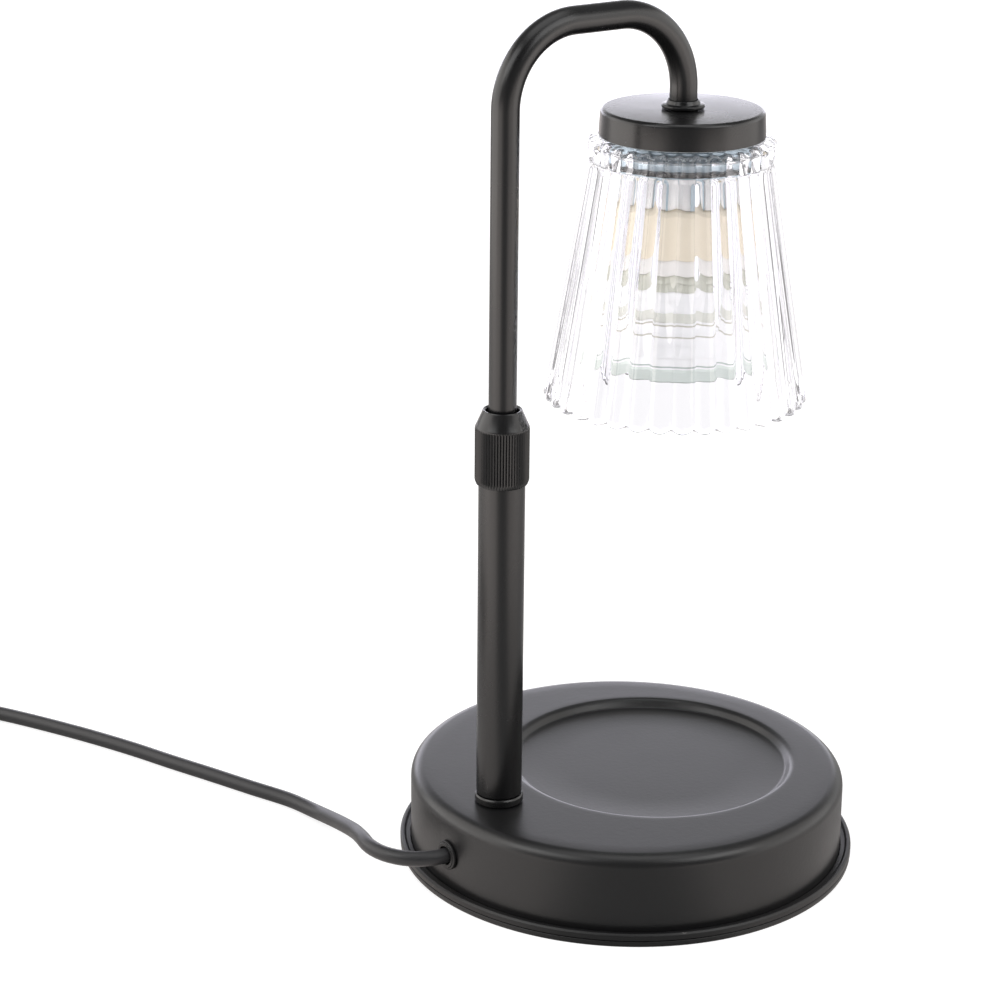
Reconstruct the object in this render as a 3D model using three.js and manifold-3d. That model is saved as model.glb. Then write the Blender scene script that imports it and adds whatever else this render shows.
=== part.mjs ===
// Candle warmer lamp: a weighted round base with a shallow dish, a telescopic post with a knurled
// lock collar, a bent arm, and a fluted glass shade over a halogen reflector bulb.
// Lengths are millimetres. Z points up from the table, and the origin is the middle of the base
// on the table. The post stands on the -X side, and the arm reaches towards +X over the dish.
import * as THREE from 'three';
import { mergeVertices } from 'three/addons/utils/BufferGeometryUtils.js';
import Module from 'manifold-3d';

// Clearances: between pieces that touch, between pieces that run, and past a face that is cut
const seatGap = 0.3;
const runGap = 0.3;
const cutPast = 1;

// Facets around a large, a middling and a small round piece, and along a rounded edge
const wideSides = 44;
const midSides = 24;
const smallSides = 12;
const capSides = 36;
const leadSides = 8;
const edgeSteps = 3;

// Foot ring: a rubber channel that grips the turned-out rim of the shell
const footWall = 0.8;
const footHeight = 4.3;
const footEdge = 0.6;
const footLipWidth = 8;
const footSeamDepth = 0.6;
const footSeamWidth = 0.8;
const footBeadWidth = 1.9;
const footLedge = 0.45;

// Base shell: drawn from one sheet, with a candle dish pressed into its top
const sheet = 1.2;
const shellRadius = 69;
const shellHeight = 27.9;
const shellEdge = 7;
const rimWidth = 2.4;
const dishMargin = 12.9;
const dishPostGap = 13.1;
const dishDepth = 2.5;
const dishSlope = 3.4;
const dishEdge = 1.1;

// Inside of the base: the closing plate, the iron weight and the bolt that clamps them
const plateSheet = 1.2;
const weightInset = 0.5;
const weightThickness = 13;
const boltRadius = 3;
const boltHeadRadius = 5.5;
const boltHeadHeight = 0.9;
const bossRadius = 8;
const boltPocket = 1.2;

// Post: foot collar, outer tube and the hollow threaded rod that fixes it to the shell
const postInset = 19;
const postRadius = 7.05;
const postWall = 1;
const postLength = 102.9;
const footCollarRadius = 7.5;
const footCollarHeight = 2.5;
const footCollarEdge = 0.5;
const rodRadius = 4;
const rodBore = 2.4;
const rodReachUp = 6.5;
const rodReachDown = 8.6;
const plugLength = 7.2;
const washerRadius = 8.5;
const washerHeight = 1.5;
const rodNutHeight = 5;
const rodNutRadius = 7.5;

// Arm: one bent tube that slides in the post, at the height that the photograph shows
const armRadius = 4.2;
const armWall = 0.8;
const armReach = 65;
const armRise = 134.2;
const armBend = 24;
const armInsert = 72.9;
const armTipDrop = 42;
const bendSteps = 7;
const armSides = 12;
const ringWidth = 1.2;
const stopHeight = 1.5;
const endRingHeight = 1;
const bushHeight = 8;

// Clamp: a slotted collet in the top of the post, and the knurled collar that closes it
const colletSpigot = 3.7;
const colletFlange = 1.4;
const threadRadius = 6.3;
const threadLength = 8.5;
const fingerLength = 7;
const fingerRadius = 6;
const fingerTip = 5.2;
const slotWidth = 0.9;
const slotDepth = 9;
const slotCount = 4;
const collarRadius = 8.2;
const collarFoot = 7.7;
const collarLap = 1.9;
const collarChamfer = 1.4;
const knurlBand = 16;
const knurlDepth = 0.35;
const knurlRidges = 28;
const collarCone = 5.2;
const collarMouth = 5.9;
const collarMouthBore = 5;
const collarShoulder = 0.5;

// Shade carrier: neck ring, spun cap, nut, holder cup and the ring that clamps the glass
const capRadius = 25.2;
const capSheet = 0.8;
const capDrop = 38.3;
const capHeight = 8.2;
const capEdge = 1.4;
const capTaper = 0.5;
const neckRingRadius = 6.5;
const neckRingHeight = 2.4;
const armNutRadius = 7;
const armNutHeight = 5;
const cupRadius = 12;
const cupSheet = 0.6;
const cupReach = 20.8;
const clampRadius = 21.5;
const clampSheet = 1.6;
const clampSkirt = 2.4;
const clampHub = 1.8;
const clampHubHeight = 4;

// Glass shade: a cone of thirty-six flutes under a beaded neck
const glassHeight = 81.5;
const glassRimRadius = 40.5;
const glassNeckRadius = 28.2;
const glassWall = 2.2;
const glassLip = 2.6;
const glassLipHole = 17.5;
const beadRadius = 28.6;
const beadHeight = 6.6;
const beadCorner = 1;
const beadWaist = 27.2;
const waistDrop = 1.6;
const fluteCount = 36;
const fluteSteps = 4;
const fluteDepth = 1;
const rimRound = 1.1;
const rimLift = 1.3;

// Bulb: ceramic base, glass reflector, front glass, capsule and two bayonet pins
const bulbBaseRadius = 14.3;
const bulbBaseHeight = 19.5;
const bulbNeckRadius = 13.7;
const bulbNeckHeight = 5;
const bulbRimRadius = 24.7;
const bulbRimHeight = 3.4;
const bulbDepth = 26;
const bulbWall = 1.3;
const bulbThroatRadius = 12.2;
const lensSheet = 1.6;
const capsuleRadius = 4.6;
const capsuleHeight = 20;
const pinSpacing = 10;
const pinRadius = 1.6;
const pinHeadRadius = 2.4;
const pinHeadHeight = 2.2;
const pinHeight = 7.4;
const holderHeight = 12;

// Wiring inside the lamp: the terminal block, its screws and the lead that climbs the post
const leadRadius = 1.9;
const blockLength = 17.5;
const blockWidth = 16;
const blockDrop = 2.6;
const blockSetback = 9.4;
const screwRadius = 1.7;
const screwHeight = 2.2;
const screwSpread = 4;

// Grommet: a rubber bush in the side wall
const grommetZ = 14.2;
const grommetWaist = 3.8;
const grommetBore = 3;
const grommetFlange = 4.65;
const grommetStep = 3.9;
const grommetOuter = 1.7;
const grommetInner = 1.4;
const grommetInnerGap = 0.5;

// Mains cord: round flex, 4.8 mm across, with the stretch that is put away wound in a coil
const cordRadius = 2.4;
const cordSides = 8;
const leadSteps = 34;
const linkSteps = 12;
const tailSteps = 3;
const coilX = -240.6;
const coilY = 157;
const coilZ = 3.4;
const coilInner = 19.5;
const coilPitch = 5.4;
const coilTurns = 3.5;
const coilLayers = 2;
const coilSides = 6;
const coilSteps = 24;
const reversalBlend = 0.35;
const tieThickness = 0.7;
const tieWidth = 6;
const tieSlack = 0.3;

// The cord's route from the terminal block to the dimmer, along the table
const leadRoute = [
  [-59.7, 0, 14.2],
  [-66, 0, 14.2],
  [-71.5, 0, 14.2],
  [-77, 1.8, 14.2],
  [-81.7, 5.6, 14.2],
  [-84.9, 11.6, 14.1],
  [-85.5, 19, 13.8],
  [-83.2, 27.2, 12.8],
  [-80.2, 36.1, 10.6],
  [-78, 46.1, 8.2],
  [-76.2, 56.6, 5.7],
  [-74.9, 67.2, 3.35],
  [-76.6, 81.6, 2.5],
  [-82.3, 97.2, 2.45],
  [-88.1, 113.3, 2.45],
  [-94.4, 130.2, 2.45],
  [-100.5, 147.4, 2.45],
  [-107.8, 165.3, 2.45],
  [-116, 183, 2.45],
  [-123.5, 197.5, 2.5],
  [-131.2, 208.8, 3],
  [-136.6, 215.8, 4.2],
  [-143.2, 221, 6],
  [-150.4, 223.7, 7.8],
  [-156.4, 224.4, 8.8],
  [-162, 224.4, 9],
  [-172, 224.4, 9],
  [-182.3, 224.4, 9],
];

// From the dimmer to the coil
const linkRoute = [
  [-233.7, 224.4, 9],
  [-246, 224.4, 9],
  [-258, 224.4, 9],
  [-266.2, 223, 8.6],
  [-273, 218.6, 7.4],
  [-277.6, 212, 5.8],
  [-279, 204, 4.4],
  [-279, 195, 3.6],
  [-279, 184, 3.4],
  [-279, 172, 3.4],
  [-279, 162.1, 3.4],
];

// From the coil to the plug
const tailRoute = [
  [-279, 151.9, 8.8],
  [-279, 147, 8.7],
  [-279, 138, 8.1],
  [-279, 132.3, 8],
];

// Dimmer: two moulded half shells on the cord, with a thumb wheel at one side
const dimmerX = -208;
const dimmerY = 224.4;
const dimmerLength = 52;
const dimmerWidth = 26;
const dimmerHeight = 18;
const dimmerCorner = 6;
const dimmerBevel = 1.6;
const dimmerWall = 1.8;
const wheelRadius = 11;
const wheelHeight = 4.4;
const wheelProud = 3;
const wheelBore = 2.8;
const wheelRidges = 16;
const wheelRidgeDepth = 0.5;
const wheelShare = 0.12;
const boardSheet = 1.4;
const boardLength = 34;
const boardWidth = 9;
const boardInset = 1.4;
const reliefLength = 20;
const reliefRadius = 5;
const reliefTip = 3.3;
const reliefWaist = 3.9;
const reliefFlange = 5.2;

// Plug: a moulded body with a tapered tail and two flat blades
const plugX = -279;
const plugY = 132;
const plugZ = 8;
const plugTail = 22;
const plugTailTip = 3.4;
const plugTailRoot = 5.4;
const plugBody = 30;
const plugBodyWidth = 24;
const plugBodyHeight = 15.6;
const plugCorner = 5;
const plugBevel = 1.5;
const bladeLength = 17;
const bladeWidth = 6.3;
const bladeSheet = 1.5;
const bladeSpacing = 12.7;

// Finishes
function finish(color, roughness, metalness, extra = {}) {
  return new THREE.MeshStandardMaterial({ color, roughness, metalness, ...extra });
}
const blackPaint = finish(0x38373a, 0.45, 0.3);
const blackRubber = finish(0x1c1c1d, 0.7, 0);
const blackFlex = finish(0x232325, 0.5, 0);
const blackPlastic = finish(0x262628, 0.45, 0);
const zincSteel = finish(0x9a9ea3, 0.35, 1);
const castIron = finish(0x4b4a48, 0.8, 0.6);
const brass = finish(0xb59a57, 0.3, 1);
const nylon = finish(0xd8d5cc, 0.5, 0);
const ceramic = finish(0xefe3c8, 0.35, 0);
const clearGlass = finish(0xf4f8f8, 0.05, 0, { transparent: true, opacity: 0.35 });
const bulbGlass = finish(0xe6ece4, 0.15, 0, { transparent: true, opacity: 0.5 });
const circuitGreen = finish(0x2f5f3f, 0.5, 0);

// The kernel that joins and cuts closed solids
const wasm = await Module();
wasm.setup();

const lamp = new THREE.Group();

function place(name, geometry, material, parent = lamp) {
  const mesh = new THREE.Mesh(geometry, material);
  mesh.name = name;
  parent.add(mesh);
  return mesh;
}

// Shared corners, no collapsed triangles, and faces that point out of the material
function closed(geometry) {
  const bare = geometry.clone();
  bare.deleteAttribute('normal');
  bare.deleteAttribute('uv');
  const welded = mergeVertices(bare, 1e-4);
  const corners = welded.index.array;
  const at = welded.attributes.position;
  const kept = [];
  let volume = 0;
  const [a, b, c] = [new THREE.Vector3(), new THREE.Vector3(), new THREE.Vector3()];
  for (let i = 0; i < corners.length; i += 3) {
    const [p, q, r] = [corners[i], corners[i + 1], corners[i + 2]];
    if (p === q || q === r || r === p) continue;
    kept.push(p, q, r);
    a.fromBufferAttribute(at, p);
    b.fromBufferAttribute(at, q);
    c.fromBufferAttribute(at, r);
    volume += a.dot(b.cross(c));
  }
  welded.setIndex(volume < 0 ? kept.reverse() : kept);
  return welded;
}

function solid(geometry) {
  const shape = closed(geometry);
  const vertProperties = new Float32Array(shape.attributes.position.array);
  const triVerts = new Uint32Array(shape.index.array);
  return new wasm.Manifold(new wasm.Mesh({ numProp: 3, vertProperties, triVerts }));
}

function geometryOf(body) {
  const { vertProperties, triVerts } = body.getMesh();
  const geometry = new THREE.BufferGeometry();
  geometry.setAttribute('position', new THREE.BufferAttribute(vertProperties, 3));
  geometry.setIndex(new THREE.BufferAttribute(triVerts, 1));
  return geometry;
}

// A solid of revolution about Z from [radius, height] points
function turned(profile, sides = midSides) {
  const points = profile.map(([r, z]) => new THREE.Vector2(r, z));
  return closed(new THREE.LatheGeometry(points, sides).rotateX(Math.PI / 2));
}

// The same, for a profile that closes on itself away from the axis
function turnedLoop(profile, sides = midSides) {
  return turned([...profile, profile[0]], sides);
}

function disc(radius, bottom, top, sides = midSides) {
  return turned([[0, bottom], [radius, bottom], [radius, top], [0, top]], sides);
}

function washer(inner, outer, bottom, top, sides = midSides) {
  return turnedLoop([[inner, bottom], [outer, bottom], [outer, top], [inner, top]], sides);
}

// Points of a rounded edge, from one angle to another, in quarter turns
function rounding(r, z, radius, from, to, steps = edgeSteps) {
  const points = [];
  for (let i = 0; i <= steps; i += 1) {
    const angle = (from + (to - from) * (i / steps)) * (Math.PI / 2);
    points.push([r + radius * Math.cos(angle), z + radius * Math.sin(angle)]);
  }
  return points;
}

// A closed stack of rings about Z whose radii ripple, for flutes and knurls. A ring is its radius, its
// height, its share of the ripple, and how far its hollows lift
function rippled(rings, lobes, steps, depth) {
  const around = lobes * steps;
  const positions = [];
  const index = [];
  for (const [radius, z, share, lift = 0] of rings) {
    for (let k = 0; k < around; k += 1) {
      const wave = Math.sin((Math.PI * (k % steps)) / steps) - 1;
      const r = radius + depth * share * wave;
      const angle = (2 * Math.PI * k) / around;
      positions.push(r * Math.cos(angle), r * Math.sin(angle), z - lift * wave);
    }
  }
  for (let j = 0; j < rings.length; j += 1) {
    const next = (j + 1) % rings.length;
    for (let k = 0; k < around; k += 1) {
      const beside = (k + 1) % around;
      const [a, b] = [j * around + k, j * around + beside];
      const [c, d] = [next * around + k, next * around + beside];
      index.push(a, b, d, a, d, c);
    }
  }
  const geometry = new THREE.BufferGeometry();
  geometry.setAttribute('position', new THREE.Float32BufferAttribute(positions, 3));
  geometry.setIndex(index);
  return closed(geometry);
}

function hexNut(bore, radius, height) {
  const outline = new THREE.Shape();
  for (let k = 0; k < 6; k += 1) {
    const angle = (k * Math.PI) / 3;
    const [x, y] = [radius * Math.cos(angle), radius * Math.sin(angle)];
    if (k === 0) outline.moveTo(x, y);
    else outline.lineTo(x, y);
  }
  outline.closePath();
  outline.holes.push(new THREE.Path().absarc(0, 0, bore, 0, 2 * Math.PI, true));
  return new THREE.ExtrudeGeometry(outline, { depth: height, bevelEnabled: false, curveSegments: 8 });
}

function circleSection(radius, sides) {
  const section = new THREE.Shape();
  for (let k = 0; k < sides; k += 1) {
    const angle = (2 * Math.PI * k) / sides;
    const [x, y] = [radius * Math.cos(angle), radius * Math.sin(angle)];
    if (k === 0) section.moveTo(x, y);
    else section.lineTo(x, y);
  }
  section.closePath();
  return section;
}

// A route through stations that are close where it bends and far apart where it is straight
class StationRoute extends THREE.Curve {
  constructor(points, tangents) {
    super();
    this.points = points;
    this.tangents = tangents;
  }

  at(list, u, target) {
    const place = u * (list.length - 1);
    const low = Math.min(Math.floor(place + 1e-9), list.length - 2);
    return target.copy(list[low]).lerp(list[low + 1], place - low);
  }

  getPoint(u, target = new THREE.Vector3()) {
    return this.at(this.points, u, target);
  }

  getPointAt(u, target = new THREE.Vector3()) {
    return this.at(this.points, u, target);
  }

  getTangentAt(u, target = new THREE.Vector3()) {
    return this.at(this.tangents, u, target).normalize();
  }
}

function sweep(section, path, steps) {
  return closed(new THREE.ExtrudeGeometry(section, { steps, bevelEnabled: false, extrudePath: path }));
}

function cordThrough(route, steps) {
  const points = route.map(([x, y, z]) => new THREE.Vector3(x, y, z));
  const path = new THREE.CatmullRomCurve3(points, false, 'centripetal');
  return sweep(circleSection(cordRadius, cordSides), path, steps);
}

// Places that several pieces share: the post stands in from the wall, and the dish fills what it leaves
const postShift = shellRadius - postInset;
const dishRadius = shellRadius - (postInset + dishPostGap + dishMargin) / 2;
const dishShift = shellRadius - dishMargin - dishRadius;
const footRadius = shellRadius + rimWidth + seatGap + footWall;
const weightRadius = dishRadius - weightInset;
const postGroup = new THREE.Group();
postGroup.position.x = -postShift;
lamp.add(postGroup);
const shadeGroup = new THREE.Group();
shadeGroup.position.x = armReach - postShift;
lamp.add(shadeGroup);

const flangeBottom = (footHeight - sheet) / 2;
const flangeTop = flangeBottom + sheet;
const shellInner = shellRadius - sheet;
const plateTop = flangeBottom + plateSheet;
const dishFloor = shellHeight - dishDepth;
const dishUnder = dishFloor - sheet;

function footRing() {
  const lipInner = shellRadius - footLipWidth / 2;
  const channelBack = shellRadius + rimWidth + seatGap;
  const seam = footHeight / 2;
  const ledgeZ = flangeTop + seatGap + footLedge;
  return turnedLoop([
    [lipInner, 0],
    [footRadius - footEdge, 0],
    [footRadius, footEdge],
    [footRadius, seam - footSeamWidth / 2],
    [footRadius - footSeamDepth, seam],
    [footRadius, seam + footSeamWidth / 2],
    [footRadius, footHeight - footEdge],
    [footRadius - footEdge, footHeight],
    [footRadius - footBeadWidth + footEdge, footHeight],
    [footRadius - footBeadWidth, ledgeZ],
    [shellRadius + seatGap, ledgeZ],
    [shellRadius + seatGap, flangeTop + seatGap],
    [channelBack, flangeTop + seatGap],
    [channelBack, flangeBottom - seatGap],
    [lipInner, flangeBottom - seatGap],
  ], wideSides);
}

function baseShell() {
  const edgeZ = shellHeight - shellEdge;
  const innerEdge = shellEdge - sheet;
  const drawn = solid(turned([
    [0, shellHeight],
    ...rounding(shellRadius - shellEdge, edgeZ, shellEdge, 1, 0, edgeSteps + 1),
    [shellRadius, flangeTop],
    [shellRadius + rimWidth, flangeTop],
    [shellRadius + rimWidth, flangeBottom],
    [shellInner, flangeBottom],
    ...rounding(shellInner - innerEdge, edgeZ, innerEdge, 0, 1),
    [0, shellHeight - sheet],
  ], wideSides));
  const under = disc(dishRadius + sheet, dishUnder, shellHeight - sheet / 2, wideSides);
  const pressed = turned([
    [0, dishFloor],
    [dishRadius - dishSlope, dishFloor],
    [dishRadius - dishSlope + dishEdge, dishFloor + dishEdge / 3],
    [dishRadius - dishEdge, shellHeight - dishEdge / 3],
    [dishRadius, shellHeight],
    [dishRadius, shellHeight + cutPast],
    [0, shellHeight + cutPast],
  ], wideSides);
  const rodHole = disc(rodRadius + seatGap, dishUnder, shellHeight + cutPast, smallSides);
  const sideHole = disc(grommetWaist + seatGap, 0, shellRadius - shellEdge, smallSides);
  sideHole.rotateY(-Math.PI / 2).translate(-shellEdge - cutPast, 0, grommetZ);
  return geometryOf(
    drawn
      .add(solid(under.translate(dishShift, 0, 0)))
      .subtract(solid(pressed.translate(dishShift, 0, 0)))
      .subtract(solid(rodHole.translate(-postShift, 0, 0)))
      .subtract(solid(sideHole)),
  );
}

place('foot_ring', footRing(), blackRubber);
place('base_shell', baseShell(), blackPaint);

// The closing plate, the weight, and the bolt up through both into a boss under the dish
const dishGroup = new THREE.Group();
dishGroup.position.x = dishShift;
lamp.add(dishGroup);
const weightBottom = plateTop + seatGap;
const weightTop = weightBottom + weightThickness;
const bossBottom = weightTop + seatGap;
const bossTop = dishUnder - seatGap;
const boltTop = bossTop - boltPocket;
const boltSeat = flangeBottom - seatGap;

function basePlate() {
  const hole = disc(boltRadius + seatGap, 0, plateTop + cutPast, smallSides);
  const plate = disc(shellInner - seatGap, flangeBottom, plateTop, wideSides);
  return geometryOf(solid(plate).subtract(solid(hole.translate(dishShift, 0, 0))));
}

place('base_plate', basePlate(), zincSteel);
const weight = washer(boltRadius + seatGap, weightRadius, weightBottom, weightTop);
place('ballast_weight', weight, castIron, dishGroup);
place('dish_boss', turned([
  [0, bossTop],
  [bossRadius, bossTop],
  [bossRadius, bossBottom],
  [boltRadius + seatGap, bossBottom],
  [boltRadius + seatGap, boltTop + seatGap],
  [0, boltTop + seatGap],
], smallSides), zincSteel, dishGroup);
place('centre_bolt', turned([
  [0, boltSeat - boltHeadHeight],
  [boltHeadRadius, boltSeat - boltHeadHeight],
  [boltHeadRadius, boltSeat],
  [boltRadius, boltSeat],
  [boltRadius, boltTop],
  [0, boltTop],
], smallSides), zincSteel, dishGroup);

// Post, from the nut under the shell to the top of the outer tube
const collarFootZ = shellHeight + seatGap;
const tubeBottom = collarFootZ + footCollarHeight + seatGap;
const tubeTop = tubeBottom + postLength;
const postBore = postRadius - postWall;
const washerTop = shellHeight - sheet - seatGap;
const washerBottom = washerTop - washerHeight;
const rodNutTop = washerBottom - seatGap;
const rodTop = tubeBottom + rodReachUp;
const rodBottom = shellHeight - sheet - rodReachDown;
const blockTop = rodBottom - blockDrop;

const rodWasher = washer(rodRadius + seatGap, washerRadius, washerBottom, washerTop, smallSides);
place('post_washer', rodWasher, zincSteel, postGroup);
const rodNut = hexNut(rodRadius + seatGap, rodNutRadius, rodNutHeight);
place('post_nut', rodNut.translate(0, 0, rodNutTop - rodNutHeight), zincSteel, postGroup);
place('threaded_rod', washer(rodBore, rodRadius, rodBottom, rodTop, smallSides), zincSteel, postGroup);
place('foot_collar', turnedLoop([
  [rodRadius + seatGap, collarFootZ],
  [footCollarRadius, collarFootZ],
  [footCollarRadius, collarFootZ + footCollarHeight - footCollarEdge],
  [footCollarRadius - footCollarEdge, collarFootZ + footCollarHeight],
  [rodRadius + seatGap, collarFootZ + footCollarHeight],
]), blackPaint, postGroup);
place('post_plug', washer(
  rodRadius + seatGap,
  postBore - seatGap,
  tubeBottom,
  tubeBottom + plugLength,
  smallSides,
), zincSteel, postGroup);
place('post_tube', washer(postBore, postRadius, tubeBottom, tubeTop), blackPaint, postGroup);

// Clamp at the top of the post
const collarBottom = tubeTop - collarLap;
const armFit = armRadius + runGap;
const colletBottom = tubeTop + seatGap - colletSpigot;
const colletSeat = tubeTop + seatGap;
const threadBottom = colletSeat + colletFlange;
const threadTop = threadBottom + threadLength;
const fingerTop = threadTop + fingerLength;

function clampCollet() {
  const body = solid(turnedLoop([
    [armFit, colletBottom],
    [postBore - seatGap, colletBottom],
    [postBore - seatGap, colletSeat],
    [postRadius, colletSeat],
    [postRadius, threadBottom],
    [threadRadius, threadBottom],
    [threadRadius, threadTop],
    [fingerRadius, threadTop],
    [fingerTip, fingerTop],
    [armFit, fingerTop],
  ], smallSides));
  let slotted = body;
  for (let k = 0; k < slotCount; k += 1) {
    const slot = new THREE.BoxGeometry(postRadius, slotWidth, slotDepth + cutPast);
    slot.translate(postRadius / 2 + armRadius / 2, 0, fingerTop - (slotDepth - cutPast) / 2);
    slot.rotateZ((2 * Math.PI * k) / slotCount);
    slotted = slotted.subtract(solid(slot));
  }
  return geometryOf(slotted);
}

function lockCollar() {
  const knurlBottom = collarBottom + collarChamfer;
  const knurlTop = knurlBottom + knurlBand;
  const coneTop = knurlTop + collarShoulder + collarCone;
  const skirt = postRadius + runGap;
  const thread = threadRadius + runGap;
  const tipBore = fingerTip + runGap;
  return rippled([
    [skirt, collarBottom, 0],
    [collarFoot, collarBottom, 0],
    [collarRadius, knurlBottom, 1],
    [collarRadius, knurlTop, 1],
    [collarRadius, knurlTop + collarShoulder, 0],
    [collarMouth, coneTop, 0],
    [collarMouthBore, coneTop, 0],
    [tipBore, fingerTop + runGap, 0],
    [thread, threadTop + runGap, 0],
    [thread, threadBottom + runGap, 0],
    [skirt, threadBottom + runGap, 0],
  ], knurlRidges, 2, knurlDepth);
}

place('clamp_collet', clampCollet(), brass, postGroup);
place('lock_collar', lockCollar(), blackPaint, postGroup);

// Arm: straight leg, bend, short run, bend and tip, in the XZ plane
const armFoot = tubeTop - armInsert;
const armTop = tubeTop + armRise;
const armTip = armTop - armTipDrop;

function armRoute(footZ, tipZ) {
  const points = [];
  const tangents = [];
  const station = (x, z, heading) => {
    points.push(new THREE.Vector3(x, 0, z));
    tangents.push(new THREE.Vector3(Math.cos(heading), 0, Math.sin(heading)));
  };
  const bendZ = armTop - armBend;
  station(0, footZ, Math.PI / 2);
  for (let i = 0; i <= bendSteps; i += 1) {
    const turn = (i / bendSteps) * (Math.PI / 2);
    station(armBend * (1 - Math.cos(turn)), bendZ + armBend * Math.sin(turn), Math.PI / 2 - turn);
  }
  for (let i = 0; i <= bendSteps; i += 1) {
    const turn = (i / bendSteps) * (Math.PI / 2);
    station(armReach - armBend * (1 - Math.sin(turn)), bendZ + armBend * Math.cos(turn), -turn);
  }
  station(armReach, tipZ, -Math.PI / 2);
  return new StationRoute(points, tangents);
}

const armStations = 2 * bendSteps + 3;
const tubeSection = circleSection(armRadius, armSides);
tubeSection.holes.push(circleSection(armRadius - armWall, armSides));
place('arm_tube', sweep(tubeSection, armRoute(armFoot, armTip), armStations), blackPaint, postGroup);

const bushBottom = armFoot + endRingHeight + runGap;
const stopBottom = bushBottom + bushHeight + runGap;
const armRing = (bottom, height) => washer(armFit, armFit + ringWidth, bottom, bottom + height, smallSides);
const bush = washer(armFit, postBore - runGap, bushBottom, bushBottom + bushHeight, smallSides);
place('arm_end_ring', armRing(armFoot, endRingHeight), zincSteel, postGroup);
place('guide_bush', bush, nylon, postGroup);
place('arm_stop_ring', armRing(stopBottom, stopHeight), zincSteel, postGroup);

// The shade carrier hangs from the arm at these heights
const capBottom = armTop - capDrop;
const cupBottom = capBottom - cupReach;

// The lead inside the lamp: up the post from the terminal block, then round the arm
const holderTop = cupBottom + holderHeight;
const leadSection = circleSection(leadRadius, leadSides);
place('post_lead', disc(leadRadius, blockTop + seatGap, armFoot - seatGap, leadSides), blackFlex, postGroup);
const armLeadRoute = armRoute(armFoot, holderTop + seatGap);
place('arm_lead', sweep(leadSection, armLeadRoute, armStations), blackFlex, postGroup);

// Shade carrier
const capTop = capBottom + capHeight;
const capUnder = capTop - capSheet;
const cupTop = capUnder - seatGap;
const cupUnder = cupTop - cupSheet;

function shadeCap() {
  const inner = capRadius - capSheet;
  const innerEdge = capEdge - capSheet;
  return turnedLoop([
    [armFit, capTop],
    ...rounding(capRadius - capTaper - capEdge, capTop - capEdge, capEdge, 1, 0),
    [capRadius, capBottom],
    [inner, capBottom],
    ...rounding(inner - capTaper - innerEdge, capUnder - innerEdge, innerEdge, 0, 1, 1),
    [armFit, capUnder],
  ], capSides);
}

place('neck_ring', turnedLoop([
  [armFit, capTop + seatGap],
  [neckRingRadius, capTop + seatGap],
  [neckRingRadius, capTop + seatGap + neckRingHeight / 2],
  [armFit + neckRingHeight / 4, capTop + seatGap + neckRingHeight],
  [armFit, capTop + seatGap + neckRingHeight],
], smallSides), blackPaint, shadeGroup);
place('shade_cap', shadeCap(), blackPaint, shadeGroup);
place('holder_cup', turnedLoop([
  [armFit, cupTop],
  [cupRadius, cupTop],
  [cupRadius, cupBottom],
  [cupRadius - cupSheet, cupBottom],
  [cupRadius - cupSheet, cupUnder],
  [armFit, cupUnder],
]), zincSteel, shadeGroup);
const armNut = hexNut(armFit, armNutRadius, armNutHeight);
place('arm_nut', armNut.translate(0, 0, cupUnder - seatGap - armNutHeight), zincSteel, shadeGroup);

// Glass shade
const glassTop = capBottom - seatGap;
const glassRimZ = glassTop - glassHeight;
const lipUnder = glassTop - glassLip;

function glassShade() {
  const beadTop = glassTop - glassLip / 4;
  const waistZ = beadTop - beadHeight;
  const neckZ = waistZ - waistDrop;
  const innerNeck = glassNeckRadius - fluteDepth - glassWall;
  const innerRim = glassRimRadius - fluteDepth - glassWall;
  return rippled([
    [innerRim + rimRound / 2, glassRimZ, 0, rimLift / 2],
    [glassRimRadius - rimRound, glassRimZ, 1, rimLift],
    [glassRimRadius, glassRimZ + rimRound, 1, rimLift / 2],
    [glassNeckRadius, neckZ, 1],
    [beadWaist, waistZ, 0],
    [beadRadius - beadCorner / 3, waistZ + beadCorner / 3, 1],
    [beadRadius, waistZ + beadCorner, 1],
    [beadRadius, beadTop - beadCorner, 1],
    [beadRadius - beadCorner, beadTop, 1 / 2],
    [beadWaist - glassLip / 3, glassTop, 0],
    [glassLipHole, glassTop, 0],
    [glassLipHole, lipUnder, 0],
    [innerNeck, lipUnder, 0],
  ], fluteCount, fluteSteps, fluteDepth);
}

place('glass_shade', glassShade(), clearGlass, shadeGroup);

// The ring threads onto the holder cup and clamps the glass by its lip
const clampTop = lipUnder - seatGap;
const hubInner = cupRadius + runGap;
place('shade_ring', turnedLoop([
  [hubInner, clampTop],
  [clampRadius, clampTop],
  [clampRadius, clampTop - clampSheet - clampSkirt],
  [clampRadius - clampSheet, clampTop - clampSheet - clampSkirt],
  [clampRadius - clampSheet, clampTop - clampSheet],
  [hubInner + clampHub, clampTop - clampSheet],
  [hubInner + clampHub, clampTop - clampSheet - clampHubHeight],
  [hubInner, clampTop - clampSheet - clampHubHeight],
]), zincSteel, shadeGroup);

// Lampholder and bulb
const bulbTop = cupBottom - seatGap;
const pinBottom = bulbTop + seatGap;

function lampholder() {
  let body = solid(disc(cupRadius - cupSheet - seatGap, cupBottom, holderTop, midSides));
  for (const side of [-1, 1]) {
    const holeTop = pinBottom + pinHeight + seatGap;
    const hole = disc(pinHeadRadius + seatGap, cupBottom - cutPast, holeTop, smallSides);
    hole.translate(0, (side * pinSpacing) / 2, 0);
    body = body.subtract(solid(hole));
  }
  return geometryOf(body);
}

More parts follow.
